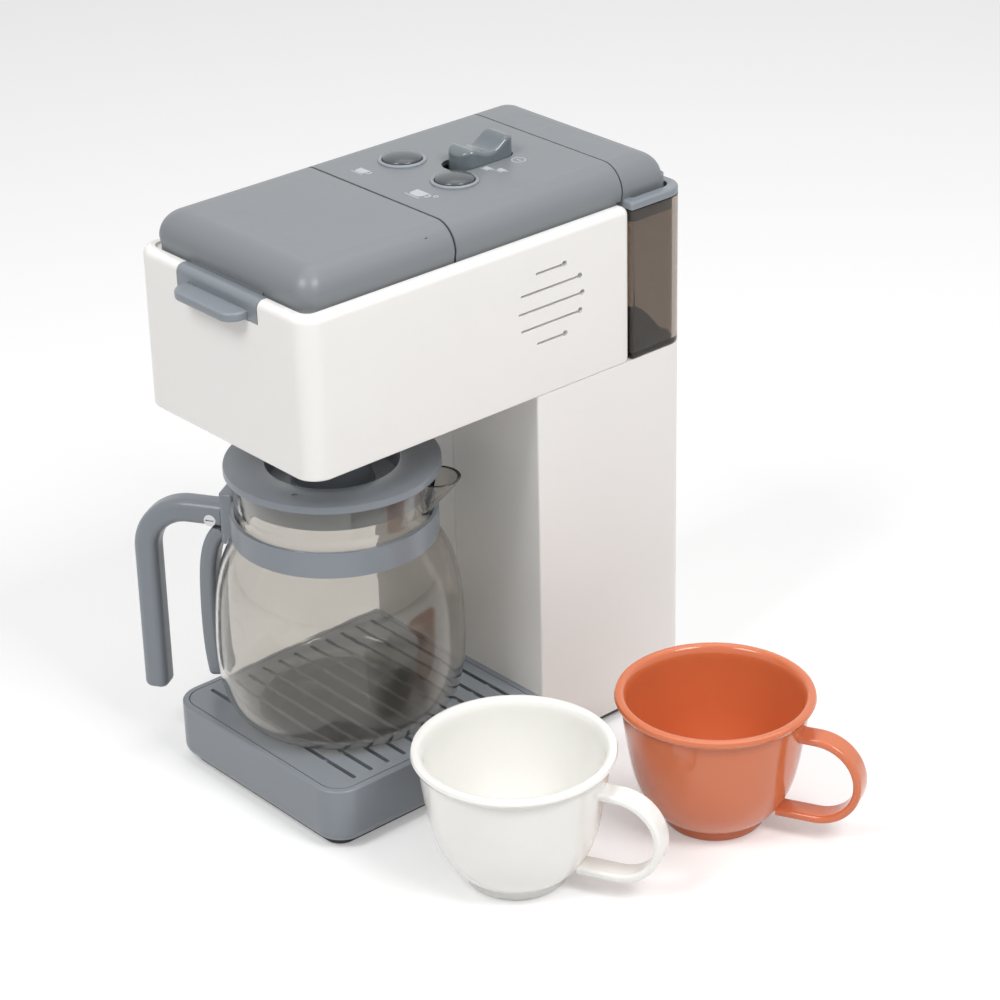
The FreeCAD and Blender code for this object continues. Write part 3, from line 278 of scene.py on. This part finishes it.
class Wiring:
    """Short-hand for adding and joining nodes in one tree."""

    def __init__(self, tree: bpy.types.NodeTree) -> None:
        """Keep the tree that is being wired."""
        self.tree = tree

    def node(self, kind: str, **values: object) -> bpy.types.Node:
        """Add a node and set its inputs or properties by name.

        Args:
            kind: Type name of the node.
            values: Input defaults (capitalised names) or node properties.

        Returns:
            The new node.
        """
        made = self.tree.nodes.new(kind)
        for name, value in values.items():
            label = name.replace("_", " ")
            if label in made.inputs:
                made.inputs[label].default_value = value
            else:
                setattr(made, name, value)
        return made

    def link(self, start: bpy.types.NodeSocket, end: bpy.types.NodeSocket) -> None:
        """Join two sockets."""
        self.tree.links.new(start, end)

    def maths(self, operation: str, first: object, second: object = 0.0) -> bpy.types.NodeSocket:
        """Add a Math node.

        Args:
            operation: Name of the operation.
            first: Socket or number for the first value.
            second: Socket or number for the second value.

        Returns:
            The result socket.
        """
        made = self.tree.nodes.new("ShaderNodeMath")
        made.operation = operation
        for value, socket in zip((first, second), made.inputs):
            if isinstance(value, bpy.types.NodeSocket):
                self.tree.links.new(value, socket)
            else:
                socket.default_value = value
        return made.outputs[0]

    def bump(self, height: bpy.types.NodeSocket, strength: float, distance: float) -> bpy.types.NodeSocket:
        """Turn a height into a normal.

        Args:
            height: Height socket.
            strength: Share of the relief that shows.
            distance: Height of the relief, in metres.

        Returns:
            The normal socket.
        """
        relief = self.node("ShaderNodeBump", Strength=strength, Distance=distance)
        self.link(height, relief.inputs["Height"])
        return relief.outputs["Normal"]

    def seen_rays(self) -> bpy.types.NodeSocket:
        """One where a ray is seen, looked through or mirrored, otherwise zero."""
        path = self.node("ShaderNodeLightPath")
        seen = self.maths("MAXIMUM", path.outputs["Is Camera Ray"], path.outputs["Is Transmission Ray"])
        return self.maths("MAXIMUM", seen, path.outputs["Is Glossy Ray"])

    def effect(self, library: EffectLibrary, effect: Effect, **values: object) -> bpy.types.Node:
        """Place a shared effect with its own values.

        Args:
            library: Where the groups are kept.
            effect: The effect wanted.
            values: Defaults of its inputs.

        Returns:
            The group node.
        """
        made = self.tree.nodes.new("ShaderNodeGroup")
        made.node_tree = library.get(effect)
        for name, value in values.items():
            made.inputs[name.replace("_", " ")].default_value = value
        return made


# Finishes

@dataclass(frozen=True)
class MouldedFinish:
    """Opaque moulded plastic."""

    name: str
    colour: Colour
    gloss: float = 0.3
    gloss_spread: float = 0.08
    mottle: float = 0.05
    peel: float = 0.04
    peel_scale: float = 420.0
    coat: float = 0.0
    speck_colour: Colour = (0.3, 0.28, 0.25)
    speck_amount: float = 0.08
    scuff: float = 0.12
    subsurface: float = 0.0

    def build(self, library: EffectLibrary) -> bpy.types.Material:
        """Make the material.

        Args:
            library: Where the shared effects are kept.

        Returns:
            The material.
        """
        material, draw, shader = start_material(self.name)
        skin = draw.effect(
            library, Effect.MOULDED_SKIN, Colour=(*self.colour, 1.0), Mottle=self.mottle, Gloss_Base=self.gloss,
            Gloss_Spread=self.gloss_spread, Peel_Scale=self.peel_scale,
        )
        dust = draw.effect(library, Effect.DUST_SPECKS, Spacing=95.0, Size=0.028, Amount=self.speck_amount)
        tint = draw.node("ShaderNodeMix", data_type="RGBA")
        draw.link(dust.outputs["Mask"], tint.inputs[0])
        draw.link(skin.outputs["Colour"], tint.inputs[6])
        tint.inputs[7].default_value = (*self.speck_colour, 1.0)
        draw.link(tint.outputs[2], shader.inputs["Base Color"])
        rub = draw.effect(library, Effect.HANDLING, Amount=self.scuff)
        rough = draw.maths("ADD", skin.outputs["Roughness"], rub.outputs["Mask"])
        draw.link(rough, shader.inputs["Roughness"])
        draw.link(draw.bump(skin.outputs["Height"], self.peel, PEEL_HEIGHT), shader.inputs["Normal"])
        shader.inputs["IOR"].default_value = PLASTIC_IOR
        shader.inputs["Coat Weight"].default_value = self.coat
        shader.inputs["Coat Roughness"].default_value = COAT_ROUGHNESS
        shader.inputs["Subsurface Weight"].default_value = self.subsurface
        shader.inputs["Subsurface Scale"].default_value = 0.002
        shader.inputs["Subsurface Radius"].default_value = (1.0, 0.8, 0.6)
        return material


@dataclass(frozen=True)
class ClearFinish:
    """Smoked transparent plastic with flow marks around its gate."""

    name: str
    colour: Colour
    shadow: Colour
    gate: Point3
    gloss: float = 0.03
    ripple: float = 0.05
    ior: float = 1.45

    def build(self, library: EffectLibrary) -> bpy.types.Material:
        """Make the material.

        Args:
            library: Where the shared effects are kept.

        Returns:
            The material.
        """
        material, draw, shader = start_material(self.name)
        skin = draw.effect(
            library, Effect.MOULDED_SKIN, Colour=(*self.colour, 1.0), Mottle=0.05, Gloss_Base=self.gloss,
            Gloss_Spread=0.03, Peel_Scale=70.0,
        )
        dust = draw.effect(library, Effect.DUST_SPECKS, Spacing=130.0, Size=0.03, Amount=0.10)
        rub = draw.effect(library, Effect.HANDLING, Amount=0.10)
        draw.link(skin.outputs["Colour"], shader.inputs["Base Color"])
        rough = draw.maths("ADD", skin.outputs["Roughness"], draw.maths("MULTIPLY", dust.outputs["Mask"], 0.5))
        draw.link(draw.maths("ADD", rough, rub.outputs["Mask"]), shader.inputs["Roughness"])
        rings = draw.effect(library, Effect.FLOW_MARKS, Centre=self.gate, Ripples=2400.0, Waver=0.004)
        faded = draw.maths("MULTIPLY", rings.outputs["Height"], rings.outputs["Reach"])
        height = draw.maths("ADD", faded, skin.outputs["Height"])
        draw.link(draw.bump(height, self.ripple, RIPPLE_HEIGHT), shader.inputs["Normal"])
        shader.inputs["Transmission Weight"].default_value = 1.0
        shader.inputs["IOR"].default_value = self.ior
        path = draw.node("ShaderNodeLightPath")
        pass_light = draw.node("ShaderNodeBsdfTransparent")
        pass_light.inputs["Color"].default_value = (*self.shadow, 1.0)
        mix = draw.node("ShaderNodeMixShader")
        draw.link(path.outputs["Is Shadow Ray"], mix.inputs[0])
        draw.link(shader.outputs[0], mix.inputs[1])
        draw.link(pass_light.outputs[0], mix.inputs[2])
        draw.link(mix.outputs[0], material.node_tree.nodes["Material Output"].inputs["Surface"])
        return material


@dataclass(frozen=True)
class MetalFinish:
    """Plated or bare metal with a fine brushed grain."""

    name: str
    colour: Colour
    gloss: float = 0.32

    def build(self, library: EffectLibrary) -> bpy.types.Material:
        """Make the material.

        Args:
            library: Where the shared effects are kept.

        Returns:
            The material.
        """
        material, draw, shader = start_material(self.name)
        skin = draw.effect(
            library, Effect.MOULDED_SKIN, Colour=(*self.colour, 1.0), Mottle=0.15, Gloss_Base=self.gloss,
            Gloss_Spread=0.2, Peel_Scale=900.0,
        )
        rub = draw.effect(library, Effect.HANDLING, Stretch=(120.0, 900.0, 900.0), Amount=0.3)
        draw.link(skin.outputs["Colour"], shader.inputs["Base Color"])
        draw.link(draw.maths("ADD", skin.outputs["Roughness"], rub.outputs["Mask"]), shader.inputs["Roughness"])
        draw.link(draw.bump(skin.outputs["Height"], GRAIN_SHARE, GRAIN_HEIGHT), shader.inputs["Normal"])
        shader.inputs["Metallic"].default_value = 1.0
        return material


@dataclass(frozen=True)
class BoardFinish:
    """Green laminate with copper tracks under its lacquer."""

    name: str = "board_laminate"
    lacquer: Colour = (0.012, 0.09, 0.035)
    track: Colour = (0.05, 0.22, 0.09)

    def build(self, library: EffectLibrary) -> bpy.types.Material:
        """Make the material.

        Args:
            library: Where the shared effects are kept.

        Returns:
            The material.
        """
        material, draw, shader = start_material(self.name)
        skin = draw.effect(library, Effect.MOULDED_SKIN, Colour=(*self.lacquer, 1.0), Mottle=0.2, Gloss_Base=0.3)
        place = draw.node("ShaderNodeTexCoord").outputs["Object"]
        lines = draw.node("ShaderNodeTexBrick", Scale=180.0, Mortar_Size=0.06)
        draw.link(place, lines.inputs["Vector"])
        mix = draw.node("ShaderNodeMix", data_type="RGBA")
        draw.link(lines.outputs["Fac"], mix.inputs[0])
        draw.link(skin.outputs["Colour"], mix.inputs[6])
        mix.inputs[7].default_value = (*self.track, 1.0)
        draw.link(mix.outputs[2], shader.inputs["Base Color"])
        draw.link(skin.outputs["Roughness"], shader.inputs["Roughness"])
        return material


def start_material(name: str) -> Tuple[bpy.types.Material, Wiring, bpy.types.Node]:
    """Make an empty node material.

    Args:
        name: Name of the material.

    Returns:
        The material, its wiring and its main shader.
    """
    material = bpy.data.materials.new(name)
    material.use_nodes = True
    return material, Wiring(material.node_tree), material.node_tree.nodes["Principled BSDF"]


class Finishes:
    """Every finish of the toy, built on demand."""

    GREY = MouldedFinish("grey_moulding", srgb(129, 135, 142), gloss=0.30, mottle=0.04, peel=0.03)
    GREY_SATIN = MouldedFinish("grey_satin_top", srgb(122, 126, 130), gloss=0.38, mottle=0.03, peel=0.05)
    WHITE = MouldedFinish(
        "white_moulding", srgb(236, 234, 231), gloss=0.30, mottle=0.015, peel=0.03,
        speck_colour=(0.45, 0.42, 0.38), speck_amount=0.05, subsurface=0.06,
    )
    DARK = MouldedFinish("dark_moulding", srgb(62, 60, 58), gloss=0.5, mottle=0.1, peel=0.15)
    BLACK = MouldedFinish("black_case", (0.012, 0.012, 0.013), gloss=0.45, mottle=0.1)
    BEZEL = MouldedFinish("bezel_moulding", srgb(140, 146, 153), gloss=0.22, mottle=0.03)
    BUTTON = MouldedFinish("button_moulding", srgb(68, 74, 77), gloss=0.20, mottle=0.05, coat=0.15)
    KNOB = MouldedFinish("knob_moulding", srgb(102, 111, 116), gloss=0.18, mottle=0.05, coat=0.2)
    BASKET = MouldedFinish("basket_moulding", srgb(110, 114, 120), gloss=0.34)
    CUP_WHITE = MouldedFinish(
        "cup_white", srgb(241, 240, 236), gloss=0.16, mottle=0.012, peel=0.02, coat=0.25,
        speck_amount=0.05, subsurface=0.10,
    )
    CUP_TERRACOTTA = MouldedFinish(
        "cup_terracotta", srgb(210, 114, 71), gloss=0.18, mottle=0.04, peel=0.02, coat=0.3,
        speck_colour=(0.75, 0.6, 0.5), speck_amount=0.05, subsurface=0.08,
    )
    PALE_INK = MouldedFinish("pale_ink", srgb(178, 183, 188), gloss=0.42, mottle=0.08, speck_amount=0.0, scuff=0.05)
    CELL = MouldedFinish("cell_sleeve", (0.03, 0.03, 0.035), gloss=0.25, coat=0.4)
    STEEL = MetalFinish("plated_steel", (0.56, 0.56, 0.57))
    SPEAKER = MetalFinish("speaker_frame", (0.10, 0.10, 0.11), gloss=0.45)
    BOARD = BoardFinish()
    TANK = ClearFinish("smoked_tank", srgb(160, 147, 135), (0.34, 0.29, 0.25), (0.0, 0.0735, 0.1485))
    JUG = ClearFinish("smoked_jug", srgb(226, 223, 218), (0.68, 0.66, 0.63), (-0.0015, -0.0411, 0.0255), ripple=0.05)

    def __init__(self, library: EffectLibrary) -> None:
        """Keep the effect library and an empty store."""
        self.library = library
        self._store: Dict[str, bpy.types.Material] = {}

    def get(self, finish: object) -> bpy.types.Material:
        """Return the material of a finish, building it the first time."""
        if finish.name not in self._store:
            self._store[finish.name] = finish.build(self.library)
        return self._store[finish.name]


# Mesh helpers

def dress_node(name: str, material: bpy.types.Material, smooth_angle: float = 32.0) -> None:
    """Give a CAD node its material and soft shading.

    Args:
        name: Name of the node.
        material: Material to assign.
        smooth_angle: Edges sharper than this stay crisp, in degrees.
    """
    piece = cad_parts[name]
    piece.data.materials.clear()
    piece.data.materials.append(material)
    shade_soft(piece, smooth_angle)
    LOG.info("dressed %s with %s", name, material.name)


def shade_soft(piece: bpy.types.Object, angle: float) -> None:
    """Weld split corners and keep only real edges crisp.

    Args:
        piece: The object.
        angle: Edges sharper than this stay crisp, in degrees.
    """
    for polygon in piece.data.polygons:
        polygon.use_smooth = True
    weld = piece.modifiers.new("weld", "WELD")
    weld.merge_threshold = WELD_REACH
    split = piece.modifiers.new("crisp_edges", "EDGE_SPLIT")
    split.split_angle = math.radians(angle)
    split.use_edge_sharp = False


def flat_shape(
    name: str,
    loops: Sequence[Sequence[Point2]],
    thickness: float,
    to_world: Matrix,
    material: bpy.types.Material,
    body: str,
) -> bpy.types.Object:
    """Thin printed shape made of closed outlines.

    Args:
        name: Name of the piece.
        loops: Outlines in millimetres, x to the right and y up.
        thickness: Height of the print, in metres.
        to_world: Where the outlines' plane lies.
        material: Its finish.
        body: Body that it rides on.

    Returns:
        The object.
    """
    mesh = bpy.data.meshes.new(name)
    bm = bmesh.new()
    for loop in loops:
        ring = [bm.verts.new((x * MM, y * MM, 0.0)) for x, y in loop]
        bm.faces.new(ring)
    made = bmesh.ops.extrude_face_region(bm, geom=bm.faces[:])
    lifted = [item for item in made["geom"] if isinstance(item, bmesh.types.BMVert)]
    bmesh.ops.translate(bm, verts=lifted, vec=(0.0, 0.0, thickness))
    bmesh.ops.recalc_face_normals(bm, faces=bm.faces[:])
    bmesh.ops.triangulate(bm, faces=bm.faces[:])
    bm.transform(to_world)
    bm.to_mesh(mesh)
    bm.free()
    mesh.materials.append(material)
    piece = bpy.data.objects.new(name, mesh)
    bpy.context.scene.collection.objects.link(piece)
    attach(piece, body)
    LOG.info("built %s", name)
    return piece


def arc_points(centre: Point2, radius: float, start: float, end: float, steps: int = 14) -> List[Point2]:
    """Points along an arc.

    Args:
        centre: Centre of the arc.
        radius: Radius.
        start: First angle, in degrees.
        end: Last angle, in degrees.
        steps: Number of points less one.

    Returns:
        The points.
    """
    angles = [math.radians(start + (end - start) * i / steps) for i in range(steps + 1)]
    return [(centre[0] + radius * math.cos(a), centre[1] + radius * math.sin(a)) for a in angles]


def band_loop(centre: Point2, outer: float, inner: float, start: float, end: float) -> List[Point2]:
    """Closed outline of part of a ring.

    Args:
        centre: Centre of the ring.
        outer: Outer radius.
        inner: Inner radius.
        start: First angle, in degrees.
        end: Last angle, in degrees.

    Returns:
        The outline.
    """
    return arc_points(centre, outer, start, end) + arc_points(centre, inner, end, start)


def bar_loop(x0: float, x1: float, y0: float, y1: float) -> List[Point2]:
    """Outline of a bar with rounded ends.

    Args:
        x0: Left end.
        x1: Right end.
        y0: Lower edge.
        y1: Upper edge.

    Returns:
        The outline.
    """
    radius = (y1 - y0) / 2
    middle = (y0 + y1) / 2
    right = arc_points((x1 - radius, middle), radius, -90, 90, 8)
    left = arc_points((x0 + radius, middle), radius, 90, 270, 8)
    return right + left


@dataclass(frozen=True)
class CoilSpring:
    """Small compression spring between the circuit board and a button."""

    side: str
    centre: Point2
    foot: float = 0.2046
    length: float = 0.0096
    radius: float = 0.005
    wire: float = 0.00045
    turns: int = 4
    travel: float = 0.002
    ring_steps: int = 36
    wire_steps: int = 10

    def build(self, material: bpy.types.Material) -> bpy.types.Object:
        """Wind the spring in place of its plain solid.

        Args:
            material: Its finish.

        Returns:
            The object.
        """
        name = f"{self.side}_button_coil"
        steps = self.turns * self.ring_steps
        climb = self.length - 2 * self.wire
        mesh = bpy.data.meshes.new(name)
        points = []
        for step in range(steps + 1):
            turn = 2 * math.pi * step / self.ring_steps
            level = self.foot + self.wire + climb * step / steps
            for index in range(self.wire_steps):
                around = 2 * math.pi * index / self.wire_steps
                reach = self.radius + self.wire * math.cos(around)
                points.append((
                    self.centre[0] + reach * math.cos(turn), self.centre[1] + reach * math.sin(turn),
                    level + self.wire * math.sin(around),
                ))
        faces = []
        for step in range(steps):
            for index in range(self.wire_steps):
                near = step * self.wire_steps
                after = (index + 1) % self.wire_steps
                next_ring = near + self.wire_steps
                faces.append((near + index, near + after, next_ring + after, next_ring + index))
        faces.append(tuple(range(self.wire_steps)))
        faces.append(tuple(steps * self.wire_steps + index for index in reversed(range(self.wire_steps))))
        mesh.from_pydata(points, [], faces)
        mesh.update()
        mesh.materials.append(material)
        spring = bpy.data.objects.new(name, mesh)
        bpy.context.scene.collection.objects.link(spring)
        shade_soft(spring, 50.0)
        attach(spring, "machine")
        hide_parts(f"{self.side}_button_spring")
        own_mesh(spring)
        LOG.info("built %s", name)
        return spring


@dataclass(frozen=True)
class CupMark:
    """Plain cup pictogram for the control marks."""

    width: float
    height: float

    def loops(self, shift: Point2 = (0.0, 0.0)) -> List[List[Point2]]:
        """Outlines of the mark.

        Args:
            shift: Offset of the mark.

        Returns:
            Closed outlines in millimetres.
        """
        half = self.width / 2
        bottom = self.height * 0.18
        bowl = [(-half, self.height), (-half * 0.92, bottom + half * 0.55)]
        bowl += [(-half * 0.92 + half * 0.45 * (1 - math.cos(t)), bottom + half * 0.55 * (1 - math.sin(t)))
                 for t in (0.5, 1.0, 1.57)]
        bowl += [(half * 0.92 - half * 0.45 * (1 - math.cos(t)), bottom + half * 0.55 * (1 - math.sin(t)))
                 for t in (1.57, 1.0, 0.5)]
        bowl += [(half * 0.92, bottom + half * 0.55), (half, self.height)]
        thick = self.width * 0.11
        ring = band_loop((half + thick * 0.3, self.height * 0.68), half * 0.52, half * 0.52 - thick, -75, 75)
        saucer = bar_loop(-half * 1.15, half * 1.15, 0.0, self.height * 0.09)
        shapes = [bowl, ring, saucer]
        return [[(x + shift[0], y + shift[1]) for x, y in shape] for shape in shapes]


# Sub-assemblies

@dataclass
class Shell:
    """White head and column on a dark base."""

    finishes: Finishes

    def dress(self) -> None:
        """Give the mouldings their finishes."""
        for name in ("left_housing", "right_housing", "front_cover", "lid_hinge_bracket", "battery_box"):
            dress_node(name, self.finishes.get(Finishes.WHITE))
        for name in ("base_plate", "battery_door"):
            dress_node(name, self.finishes.get(Finishes.DARK))
        screws = [f"{end}_{side}_screw" for end in ("front", "rear") for side in ("left", "right")]
        for name in screws + ["battery_door_screw"]:
            dress_node(name, self.finishes.get(Finishes.STEEL))


@dataclass
class Crown:
    """Front lid with its lift tab, the fixed deck with its marks, and the tank lid."""

    finishes: Finishes
    deck_z: float = 0.2203
    mark_height: float = 0.00004

    def build(self) -> None:
        """Add the pale marks beside the controls."""
        ink = self.finishes.get(Finishes.PALE_INK)
        small = CupMark(5.4, 4.4)
        large = CupMark(6.6, 5.6)
        pair = CupMark(3.4, 3.0)
        marks: Dict[str, Tuple[List[List[Point2]], Point2]] = {
            "small_cup_mark": (small.loops(), (-0.0192, -0.0105)),
            "large_cup_mark": (
                large.loops() + [band_loop((6.6, 5.6), 1.0, 0.5, 0, 350)], (0.0115, -0.0110),
            ),
            "two_cups_mark": (pair.loops() + pair.loops((4.8, 2.4)), (0.0100, 0.0235)),
            "off_mark": (
                [band_loop((0, 0), 2.7, 2.3, 0, 356), bar_loop(-1.3, 1.3, -0.2, 0.2)], (0.0115, 0.0387),
            ),
        }
        for name, (loops, place) in marks.items():
            flat_shape(
                name, loops, self.mark_height, Matrix.Translation((place[0], place[1], self.deck_z)), ink,
                "machine",
            )

    def dress(self) -> None:
        """Give the crown its grey finishes."""
        for name in ("front_lid", "control_deck", "tank_lid"):
            dress_node(name, self.finishes.get(Finishes.GREY_SATIN), 22.0)
        dress_node("lid_lift_tab", self.finishes.get(Finishes.GREY))
        for name in ("left_lid_pin", "right_lid_pin"):
            dress_node(name, self.finishes.get(Finishes.STEEL))


@dataclass
class Controls:
    """Push buttons, slide knob and the parts under the deck."""

    finishes: Finishes
    left_centre: Point2 = (-0.0173, 0.0090)
    right_centre: Point2 = (0.0113, 0.0090)

    def build(self) -> None:
        """Wind the two button springs."""
        steel = self.finishes.get(Finishes.STEEL)
        CoilSpring("left", self.left_centre).build(steel)
        CoilSpring("right", self.right_centre).build(steel)

    def dress(self) -> None:
        """Give the controls and the parts behind them their finishes."""
        for side in ("left", "right"):
            dress_node(f"{side}_bezel", self.finishes.get(Finishes.BEZEL))
            dress_node(f"{side}_button", self.finishes.get(Finishes.BUTTON))
            dress_node(f"{side}_tact_switch", self.finishes.get(Finishes.BLACK))
            dress_node(f"{side}_battery_contact", self.finishes.get(Finishes.STEEL))
        dress_node("switch_knob", self.finishes.get(Finishes.KNOB))
        dress_node("slide_switch", self.finishes.get(Finishes.STEEL))
        dress_node("circuit_board", self.finishes.get(Finishes.BOARD))
        dress_node("speaker", self.finishes.get(Finishes.SPEAKER))
        for name in ("front_battery_cell", "rear_battery_cell"):
            dress_node(name, self.finishes.get(Finishes.CELL))


@dataclass
class Brewing:
    """Tank, filter basket, outlet, drip tray and grate."""

    finishes: Finishes

    def dress(self) -> None:
        """Give the water and drip parts their finishes."""
        dress_node("water_tank", self.finishes.get(Finishes.TANK))
        dress_node("tank_collar", self.finishes.get(Finishes.GREY))
        dress_node("tank_insert", self.finishes.get(Finishes.DARK))
        dress_node("filter_basket", self.finishes.get(Finishes.BASKET))
        for name in ("drip_nozzle", "drip_tray", "drip_grate"):
            dress_node(name, self.finishes.get(Finishes.GREY))


@dataclass
class Jug:
    """Smoked jug with its lid, band and handle."""

    finishes: Finishes

    def dress(self) -> None:
        """Give the jug its finishes."""
        dress_node("jug_body", self.finishes.get(Finishes.JUG), 40.0)
        for name in ("jug_lid", "jug_band", "jug_grip_bar", "jug_handle"):
            dress_node(name, self.finishes.get(Finishes.GREY), 40.0)
        dress_node("jug_handle_screw", self.finishes.get(Finishes.STEEL))


@dataclass
class Cups:
    """The two loose cups."""

    finishes: Finishes

    def dress(self) -> None:
        """Give the cups their glossy colours."""
        dress_node("white_cup", self.finishes.get(Finishes.CUP_WHITE), 40.0)
        dress_node("terracotta_cup", self.finishes.get(Finishes.CUP_TERRACOTTA), 40.0)


@dataclass(frozen=True)
class SoftBox:
    """Square soft box: direction and height in degrees, distance and side in metres, power in watts."""

    name: str
    azimuth: float
    elevation: float
    distance: float
    side: float
    power: float

    def build(self, aim: Point3) -> None:
        """Add the lamp, turned to the point it lights.

        Args:
            aim: The point it lights.
        """
        data = bpy.data.lights.new(self.name, "AREA")
        data.shape = "SQUARE"
        data.size = self.side
        data.energy = self.power
        lamp = bpy.data.objects.new(self.name, data)
        a, e = math.radians(self.azimuth), math.radians(self.elevation)
        way = Vector((math.sin(a) * math.cos(e), -math.cos(a) * math.cos(e), math.sin(e)))
        lamp.location = Vector(aim) + way * self.distance
        lamp.rotation_euler = way.to_track_quat("Z", "Y").to_euler()
        bpy.context.scene.collection.objects.link(lamp)


@dataclass
class Studio:
    """Camera, lamps, floor and the white surround."""

    azimuth: float = 49.08
    elevation: float = 26.93
    roll: float = -1.335
    place: Point3 = (0.77476, -0.63534, 0.60257)
    lens: float = 109.82
    ambient: float = 0.38
    floor_colour: Colour = (0.76, 0.76, 0.76)
    floor_lift: float = 0.27
    lamp_aim: Point3 = (0.02, 0.0, 0.09)
    boxes: Tuple[SoftBox, ...] = (
        SoftBox("left_soft_box", 5.0, 50.0, 1.3, 0.45, 6.8),
        SoftBox("right_soft_box", 93.0, 50.0, 1.3, 0.45, 8.4),
        SoftBox("overhead_soft_box", 200.0, 75.0, 1.5, 1.2, 5.4),
    )

    def camera(self) -> None:
        """Set the camera where the photograph was taken."""
        a, e, r = (math.radians(v) for v in (self.azimuth, self.elevation, self.roll))
        back = Vector((math.sin(a) * math.cos(e), -math.cos(a) * math.cos(e), math.sin(e)))
        level = Vector((math.cos(a), math.sin(a), 0.0))
        rise = back.cross(level)
        right = math.cos(r) * level + math.sin(r) * rise
        up = -math.sin(r) * level + math.cos(r) * rise
        data = bpy.data.cameras.new("photo_camera")
        data.lens = self.lens
        data.sensor_width = SENSOR_WIDTH
        data.clip_start = 0.01
        data.clip_end = 20.0
        view = bpy.data.objects.new("photo_camera", data)
        turn = Matrix((right, up, back)).transposed().to_4x4()
        view.matrix_world = Matrix.Translation(self.place) @ turn
        bpy.context.scene.collection.objects.link(view)
        bpy.context.scene.camera = view

    def surround(self) -> None:
        """White world: soft light on the toy, plain white where it is seen, mirrored or looked through."""
        world = bpy.data.worlds.new("surround")
        bpy.context.scene.world = world
        world.use_nodes = True
        draw = Wiring(world.node_tree)
        extra = draw.maths("MULTIPLY", draw.seen_rays(), 1.0 - self.ambient)
        strength = draw.maths("ADD", extra, self.ambient)
        back = world.node_tree.nodes["Background"]
        back.inputs["Color"].default_value = (1.0, 1.0, 1.0, 1.0)
        draw.link(strength, back.inputs["Strength"])

    def floor(self) -> None:
        """Pale floor that keeps the toy's soft shadow."""
        mesh = bpy.data.meshes.new("studio_floor")
        reach = FLOOR_REACH
        corners = [(-reach, -reach, 0), (reach, -reach, 0), (reach, reach, 0), (-reach, reach, 0)]
        mesh.from_pydata(corners, [], [(0, 1, 2, 3)])
        floor = bpy.data.objects.new("studio_floor", mesh)
        floor.location.z = -FLOOR_DROP
        bpy.context.scene.collection.objects.link(floor)
        material, draw, shader = start_material("studio_floor")
        shader.inputs["Base Color"].default_value = (*self.floor_colour, 1.0)
        shader.inputs["Roughness"].default_value = 0.9
        shader.inputs["Specular IOR Level"].default_value = 0.0
        shader.inputs["Emission Color"].default_value = (1.0, 1.0, 1.0, 1.0)
        draw.link(draw.maths("MULTIPLY", draw.seen_rays(), self.floor_lift), shader.inputs["Emission Strength"])
        mesh.materials.append(material)

    def build(self) -> None:
        """Set up the whole studio."""
        self.camera()
        self.surround()
        self.floor()
        for box in self.boxes:
            box.build(self.lamp_aim)
        bpy.context.scene.view_settings.view_transform = "Standard"


def main() -> None:
    """Build the toy's looks in order."""
    logging.basicConfig(level=logging.INFO, format="%(message)s")
    finishes = Finishes(EffectLibrary())
    shell = Shell(finishes)
    crown = Crown(finishes)
    controls = Controls(finishes)
    for part in (crown, controls):
        part.build()
    for part in (shell, crown, controls, Brewing(finishes), Jug(finishes), Cups(finishes)):
        part.dress()
        LOG.info("finished %s", type(part).__name__)
    Studio().build()
    bpy.context.view_layer.update()


if __name__ == "__main__":
    main()
